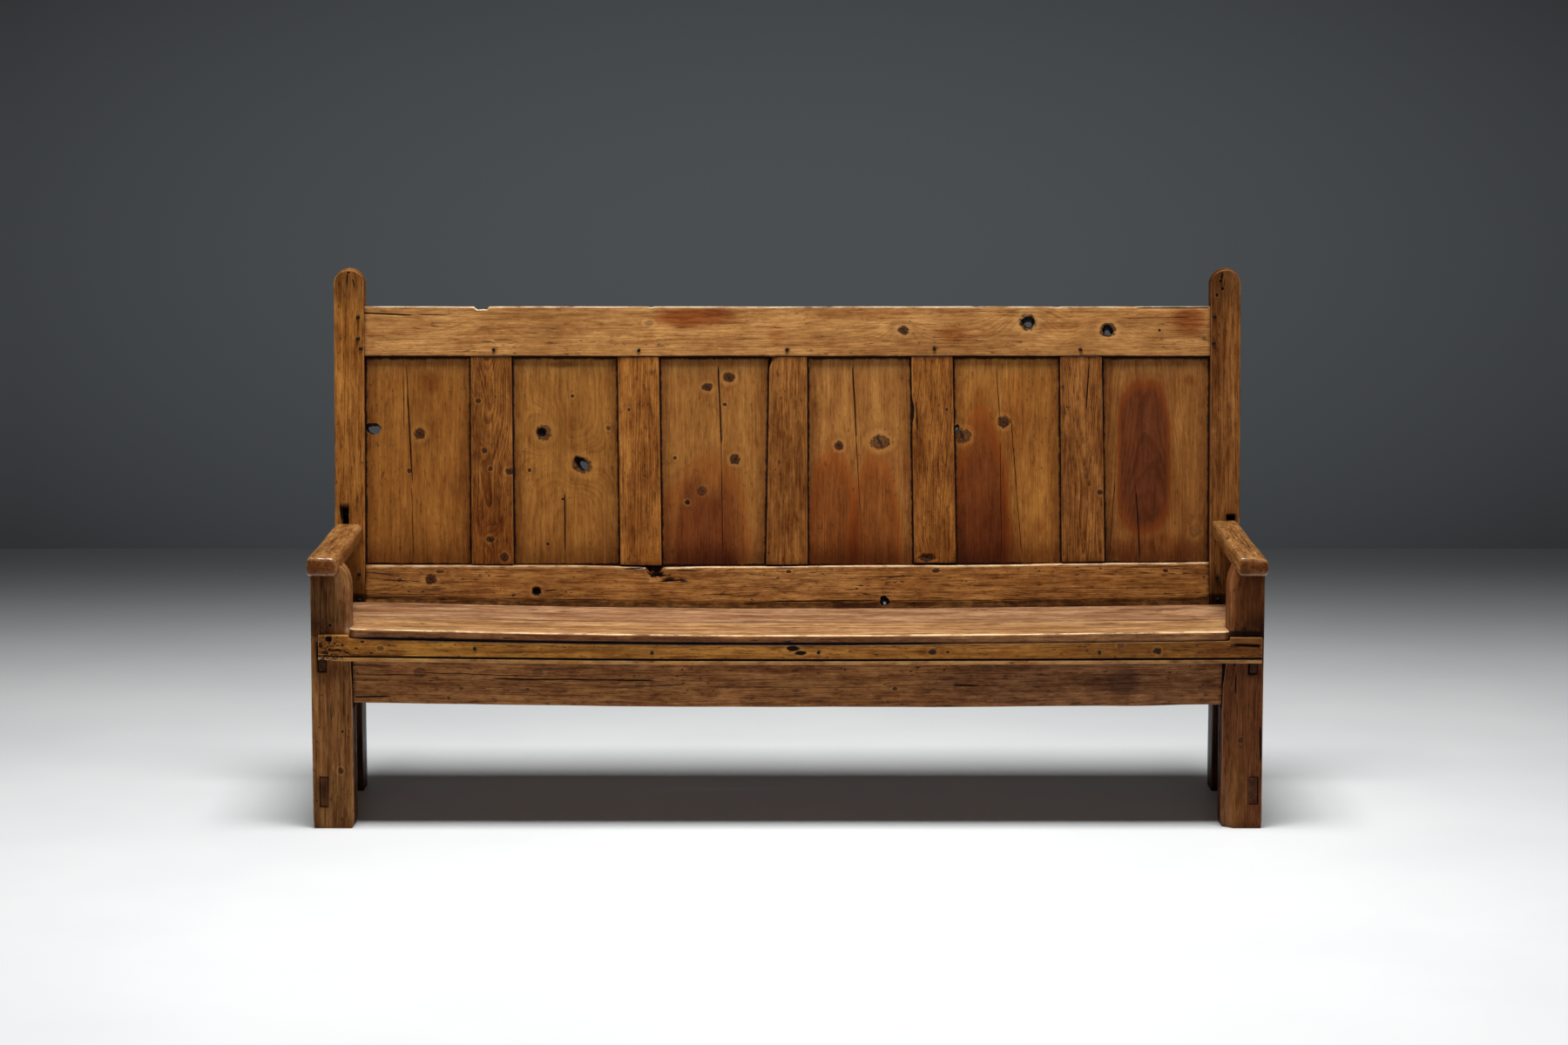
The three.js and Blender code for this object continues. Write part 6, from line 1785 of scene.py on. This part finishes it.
def make_apron():
    x0, x1 = -0.9120, 0.9120
    L, W, T = x1 - x0, 0.135, 0.024
    y0 = 0.005

    def lohi(x):
        return apron_low(x) + 0.0016 * noise1(x * 3.0, 51) + .0006 * noise1(x * 11, 52), seat_under(x) - 0.001

    def uv(px, py):
        x, z = on_plane(px, py, y0)
        lo, hi = lohi(np.array([x]))
        return x - x0, float((z - lo[0]) / (hi[0] - lo[0]) * W)
    knots, cracks = [], []
    for px, py, rx, ry, kind, kw in [(482, 772, 7, 5, "red", {"halo": .4, "amount": .55, "bow": .5}), (617, 772, 6, 4.5, "red", {"halo": .4, "amount": .5, "bow": .5}), (735, 787, 6, 3.5, "red", {"halo": .3, "amount": .4, "bow": .4}),
                                     (1133, 767, 6, 4, "red", {"halo": .4, "amount": .5, "bow": .5}), (930, 766, 5, 4, "red", {"halo": .4, "amount": .5, "bow": .5}), (1027, 791, 3, 2, "red", {"geo": False})]:
        a, b = uv(px, py)
        knots.append(knot(a, b, rx * 0.00184, ry * 0.00184, kind, **kw))
    for j, (xa, ya, xb, yb, w, depth) in enumerate([
            (407, 774.8, 500, 775.2, .5, 1.5), (480, 772, 640, 777.5, .4, 1.1), (560, 779.5, 760, 781.0, .7, 2.0), (640, 777, 700, 779.5, .9, 2.4), (850, 784.5, 960, 776.5, .9, 2.6), (930, 784.0, 1080, 779.5, .9, 2.6),
            (1090, 786.5, 1130, 787.0, .8, 2.2), (407, 800.5, 455, 799.5, .8, 2.2), (560, 790, 562, 790.2, .8, 2.0), (700, 770, 860, 768.5, .3, .8), (1050, 772, 1180, 773.5, .3, .8),
            (1180, 775, 1395, 774, .3, .9), (520, 797, 700, 799, .3, .8), (870, 799, 1060, 800, .3, .8), (1180, 793, 1380, 792, .3, .8), (1000, 776.0, 1075, 775.4, .5, 1.4)]):
        (a, b), (c, d) = uv(xa, ya), uv(xb, yb)
        cracks.append(Crack(a, b, c, d, w, depth, 1.2, seed=1300 + j, open0=xa < 408))
    kept = []
    for c in cracks:
        if all(abs(c.vc - o.vc) > 0.0022 for o in kept) and 0.003 < c.vc < W - 0.003:
            kept.append(c)
    cracks = kept
    stains_and_painted_light = []
    for (px, py), (rx, ry), tint, amount in [((1250, 790), (210, 60), (.76, .77, .95), .9), ((1290, 782), (26, 22), (.42, .36, .36), .9), ((1255, 790), (14, 12), (.6, .5, .5), .6), ((1140, 768), (70, 7), (.62, .5, .46), .6), ((900, 768), (90, 7), (.7, .55, .5), .6), ((470, 772), (60, 8), (.72, .6, .56), .5)]:
        a, b = uv(px, py)
        stains_and_painted_light.append(dict(u=a, v=b, ru=rx * .00184, rv=ry * .00184, tint=tint, amount=amount, soft=.6, ragged=.9))

    def place(u, v, n):
        x = x0 + u
        lo, hi = lohi(x)
        return np.stack([x, YS + y0 - n, lo + v / W * (hi - lo)], -1)

    def dirt_and_shade(u, v, n):
        d = np.exp(-np.clip(u, 0, 1) / 0.003) * .8
        d = np.maximum(d, np.exp(-np.clip(L - u, 0, 1) / 0.003) * .8)
        # painted shade: the upper part, behind and under the strip's bead, is darkened
        d = np.maximum(d, smooth(W * .60, W * .72, v) * .6)
        return d
    data = build_board(L, W, T, place, du=.008, dv=.009, r=(3.0, 1, 2.0, 1), re=(.8, .8), wav=.8, cracks=cracks, knots=knots, seed=190, dirt_and_shade=dirt_and_shade, nmid=2)
    mat = pine("apron_pine", knots=knots, stains_and_painted_light=stains_and_painted_light, seed=191, pith=(.30, -.07), ring=240, taper=.008, contrast=.55, wave=1.2, early=(0.335, 0.158, 0.066), late=(0.155, 0.058, 0.020), tone=.95,
               blotch=.46, grime_shade_gain=.55, red=.10, rough=.52, wear_sheen_gain=.45, dashes=1.0, coat=.25, grit=1.8, drift=.5, pits=1.0, checks=(4.0, 84.0, .65, .75))
    finish_piece("apron_board", "front_apron", data, mat)


def make_hidden():
    # ledger behind, carrying the seat's back edge
    x0, x1 = -0.959, 0.959
    L, W, T = x1 - x0, 0.040, 0.034

    def place(u, v, n):
        x = x0 + u
        return np.stack([x, YS + .362 - n, seat_under(x) - .0415 + v], -1)
    data = build_board(L, W, T, place, du=.02, dv=.008, r=(2,) * 4, re=(1, 1), wav=.7, seed=200, nmid=2,
                       cracks=[Crack(.2, .015, .7, .018, .5, 1.4, 1.2, seed=1401), Crack(1.1, .026, 1.6, .022, .5, 1.4, 1.2, seed=1402)])
    mat = pine("ledger_pine", seed=201, pith=(.1, -.05), ring=260, contrast=.45, early=(0.34, 0.180, 0.080), late=(0.17, 0.072, 0.026), blotch=.3, grime_shade_gain=.4, rough=.62, wear_sheen_gain=.3, dashes=.7, worms=.4, coat=.0, grey=.2)
    finish_piece("seat_ledger_bar", "seat_back_ledger", data, mat)
    body = simple_bar(-.025, .025, YS + .0293, YS + .3617, .342, float(seat_under(np.array([0.]))[0]) - .001, "y", r=2.5, seed=205,
                      cracks=[Crack(.05, .02, .22, .024, .5, 1.4, 1.2, seed=1403)])
    mat = pine("bearer_pine", seed=207, pith=(.02, -.08), ring=260, contrast=.45, early=(0.34, 0.180, 0.080), late=(0.17, 0.072, 0.026), blotch=.3, grime_shade_gain=.4, rough=.62, wear_sheen_gain=.3, dashes=.7, worms=.4, coat=.0, grey=.2)
    finish_piece("seat_bearer_bar", "seat_bearer", body, mat)


# ==================================================================== nails
def nail_mesh(seed, size):
    """An irregular forged head on a short shank; axis -Y is out of the wood."""
    seg, prof = 14, [(0.0, -1.15), (0.35, -1.1), (0.72, -0.85), (0.95, -0.45), (1.0, -0.05), (0.92, 0.25), (0.45, 0.6), (0.40, 3.0), (0.30, 7.0), (0.05, 8.5)]
    co, rng = [], np.random.default_rng(seed)
    wob = 1 + 0.10 * np.cos(np.arange(seg) * 2 * np.pi / seg * 2 + rng.random() * 6) + 0.06 * rng.standard_normal(seg)
    for k, (r, y) in enumerate(prof[1:]):
        for j in range(seg):
            a = 2 * math.pi * j / seg
            rr = r * (wob[j] if r > .4 else 1)
            co.append((math.cos(a) * rr * size, y * size * (1 + .12 * rng.standard_normal() * (k < 4)), math.sin(a) * rr * size))
    n0 = len(co)
    co.append((0, prof[0][1] * size, 0))
    co.append((0, 9.0 * size, 0))
    quads, tris = [], []
    rows = len(prof) - 1
    for k in range(rows - 1):
        for j in range(seg):
            j2 = (j + 1) % seg
            quads.append((k * seg + j, k * seg + j2, (k + 1) * seg + j2, (k + 1) * seg + j))
    for j in range(seg):
        j2 = (j + 1) % seg
        tris.append((n0, j2, j))
        tris.append((n0 + 1, (rows - 1) * seg + j, (rows - 1) * seg + j2))
    return co, quads + tris


def make_nails():
    iron = forged_iron()
    for node in [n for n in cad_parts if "nail" in n]:
        lo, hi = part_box(node)
        c = (lo + hi) / 2
        raked = "leg" not in node and "strip" not in node
        seed = sum(ord(ch) * (i + 1) for i, ch in enumerate(node))
        size = (0.0040 if "strip" in node or "muntin" in node else 0.0046)
        co, faces = nail_mesh(seed, size)
        # the head's seat: a little proud of the board's face
        if raked:
            w = (lo.z + hi.z) / 2
            head = Vector((c.x, lo.y, 0))
            d = 0.0 if "post" in node else 0.003
            # the head end of a raked nail is its lowest-y end
            ang = RAKE
            zc = hi.z - 0.0042 * CR
            wv = (zc - KNEE) / CR
            p = back_point(np.array([c.x]), np.array([wv]), np.array([d - 0.0003]))[0]
            rot = -ang
        else:
            p = np.array([c.x, lo.y + (-0.0006), c.z])
            rot = 0.0
        cr, sr = math.cos(rot), math.sin(rot)
        verts = [(p[0] + x, p[1] + y * cr - z * sr, p[2] + y * sr + z * cr) for x, y, z in co]
        me = bpy.data.meshes.new(node + "_forged")
        me.from_pydata(verts, [], faces)
        me.update()
        for poly in me.polygons:
            poly.use_smooth = True
        ob = bpy.data.objects.new(node + "_forged", me)
        SCENE.collection.objects.link(ob)
        me.materials.append(iron)
        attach(ob, "root")
        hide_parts(node)


# ==================================================================== build
for i in range(6):
    make_panel(i)
for i in range(5):
    make_muntin(i)
make_top_rail()
make_lower_rail()
for side, tag in ((-1, "left"), (1, "right")):
    make_post(side, tag)
    make_leg(side, tag)
    make_side_bars(side, tag)
    make_arm(side, tag)
make_seat_board("front")
make_seat_board("back")
make_strip()
make_apron()
make_hidden()
make_nails()

# ==================================================================== stage
FLOOR_BACK = YS + 4.74


def floor_material():
    g = Graph("studio_floor")
    tc = g.node("ShaderNodeTexCoord")
    P = tc.outputs["Object"]
    a = g.noise(P, 1.3, 4.0, 0.55)
    b = g.noise(P, 38.0, 4.0, 0.6)
    x, y, z = g.split(P)
    col = g.mix(g.step(a, 0.3, 0.7), (0.80, 0.80, 0.81), (0.84, 0.84, 0.845))
    col = g.mix(g.step(b, 0.62, 0.8, 0.0, 0.25), col, (0.72, 0.72, 0.73))
    # painted shade: the far floor is darkened in its colour, where the lamp is flagged off and the floor falls away
    # into the wall's shade
    col = g.mix(g.step(y, FLOOR_BACK - 3.2, FLOOR_BACK - 0.2, 0.0, 0.80), col, (0.09, 0.09, 0.092))
    bsdf = g.node("ShaderNodeBsdfPrincipled")
    g.put(bsdf.inputs["Base Color"], col)
    g.put(bsdf.inputs["Roughness"], g.add(g.mul(a, 0.1), 0.36))
    bsdf.inputs["Specular IOR Level"].default_value = 0.35
    out = g.node("ShaderNodeOutputMaterial")
    g.tree.links.new(bsdf.outputs[0], out.inputs["Surface"])
    return g.mat


me = bpy.data.meshes.new("floor")
ya, yb, xs = YS - 9.0, FLOOR_BACK, 14.0
me.from_pydata([(-xs, ya, 0), (xs, ya, 0), (xs, yb, 0), (-xs, yb, 0)], [], [(0, 1, 2, 3)])
me.materials.append(floor_material())
floor = bpy.data.objects.new("floor", me)
SCENE.collection.objects.link(floor)

world = bpy.data.worlds.new("studio")
SCENE.world = world
world.use_nodes = True
wt = world.node_tree
wt.nodes.clear()
bg = wt.nodes.new("ShaderNodeBackground")
bg.inputs["Color"].default_value = (0.068, 0.074, 0.079, 1)
wc = wt.nodes.new("ShaderNodeTexCoord")
wx = wt.nodes.new("ShaderNodeSeparateXYZ")
wt.links.new(wc.outputs["Generated"], wx.inputs[0])


def wmath(op, a, b, c=None):
    n = wt.nodes.new("ShaderNodeMath")
    n.operation = op
    for s, v in zip(n.inputs, (a, b, c)):
        if v is None:
            continue
        if isinstance(v, float):
            s.default_value = v
        else:
            wt.links.new(v, s)
    return n.outputs[0]


# the wall is a little paler in the middle and darkens to the sides and to the floor
sides = wmath("MULTIPLY", wx.outputs[0], wx.outputs[0])
sides = wmath("MINIMUM", wmath("MULTIPLY", sides, 7.2), 0.36)
rise = wmath("ADD", wx.outputs[2], 0.035)
drop = wmath("MINIMUM", wmath("MULTIPLY", wmath("MULTIPLY", rise, rise), 38.0), 0.30)
wt.links.new(wmath("SUBTRACT", wmath("SUBTRACT", 1.04, sides), drop), bg.inputs["Strength"])
wo = wt.nodes.new("ShaderNodeOutputWorld")
wt.links.new(bg.outputs[0], wo.inputs[0])


def area(name, loc, target, sx, sy, power, color=(1, 1, 1), spread=180):
    li = bpy.data.lights.new(name, "AREA")
    li.shape = "RECTANGLE"
    li.size, li.size_y, li.energy, li.color = sx, sy, power, color
    li.spread = math.radians(spread)
    ob = bpy.data.objects.new(name, li)
    ob.location = loc
    ob.rotation_euler = (Vector(target) - Vector(loc)).to_track_quat("-Z", "Y").to_euler()
    SCENE.collection.objects.link(ob)
    return ob


area("overhead", (0.0, YS - 0.80, 6.0), (0, YS - 0.70, 0), 3.0, 1.8, 209, (0.98, 1.0, 0.995), spread=112)
area("front_fill", (0.0, YS - 6.0, 2.6), (0, YS, 0.8), 5.0, 1.6, 24, (1.0, 0.99, 0.98))

cam = bpy.data.cameras.new("camera")
cam.sensor_width = 36.0
cam.lens = CAM_F / 1800 * 36
cam.clip_end = 100
cam_ob = bpy.data.objects.new("camera", cam)
cam_ob.location = (CAM_X, YS - CAM_D, CAM_H)
cam_ob.rotation_euler = (math.radians(90) - CAM_TILT, 0, 0)
SCENE.collection.objects.link(cam_ob)
SCENE.camera = cam_ob
SCENE.view_settings.view_transform = "Standard"
SCENE.view_settings.look = "None"
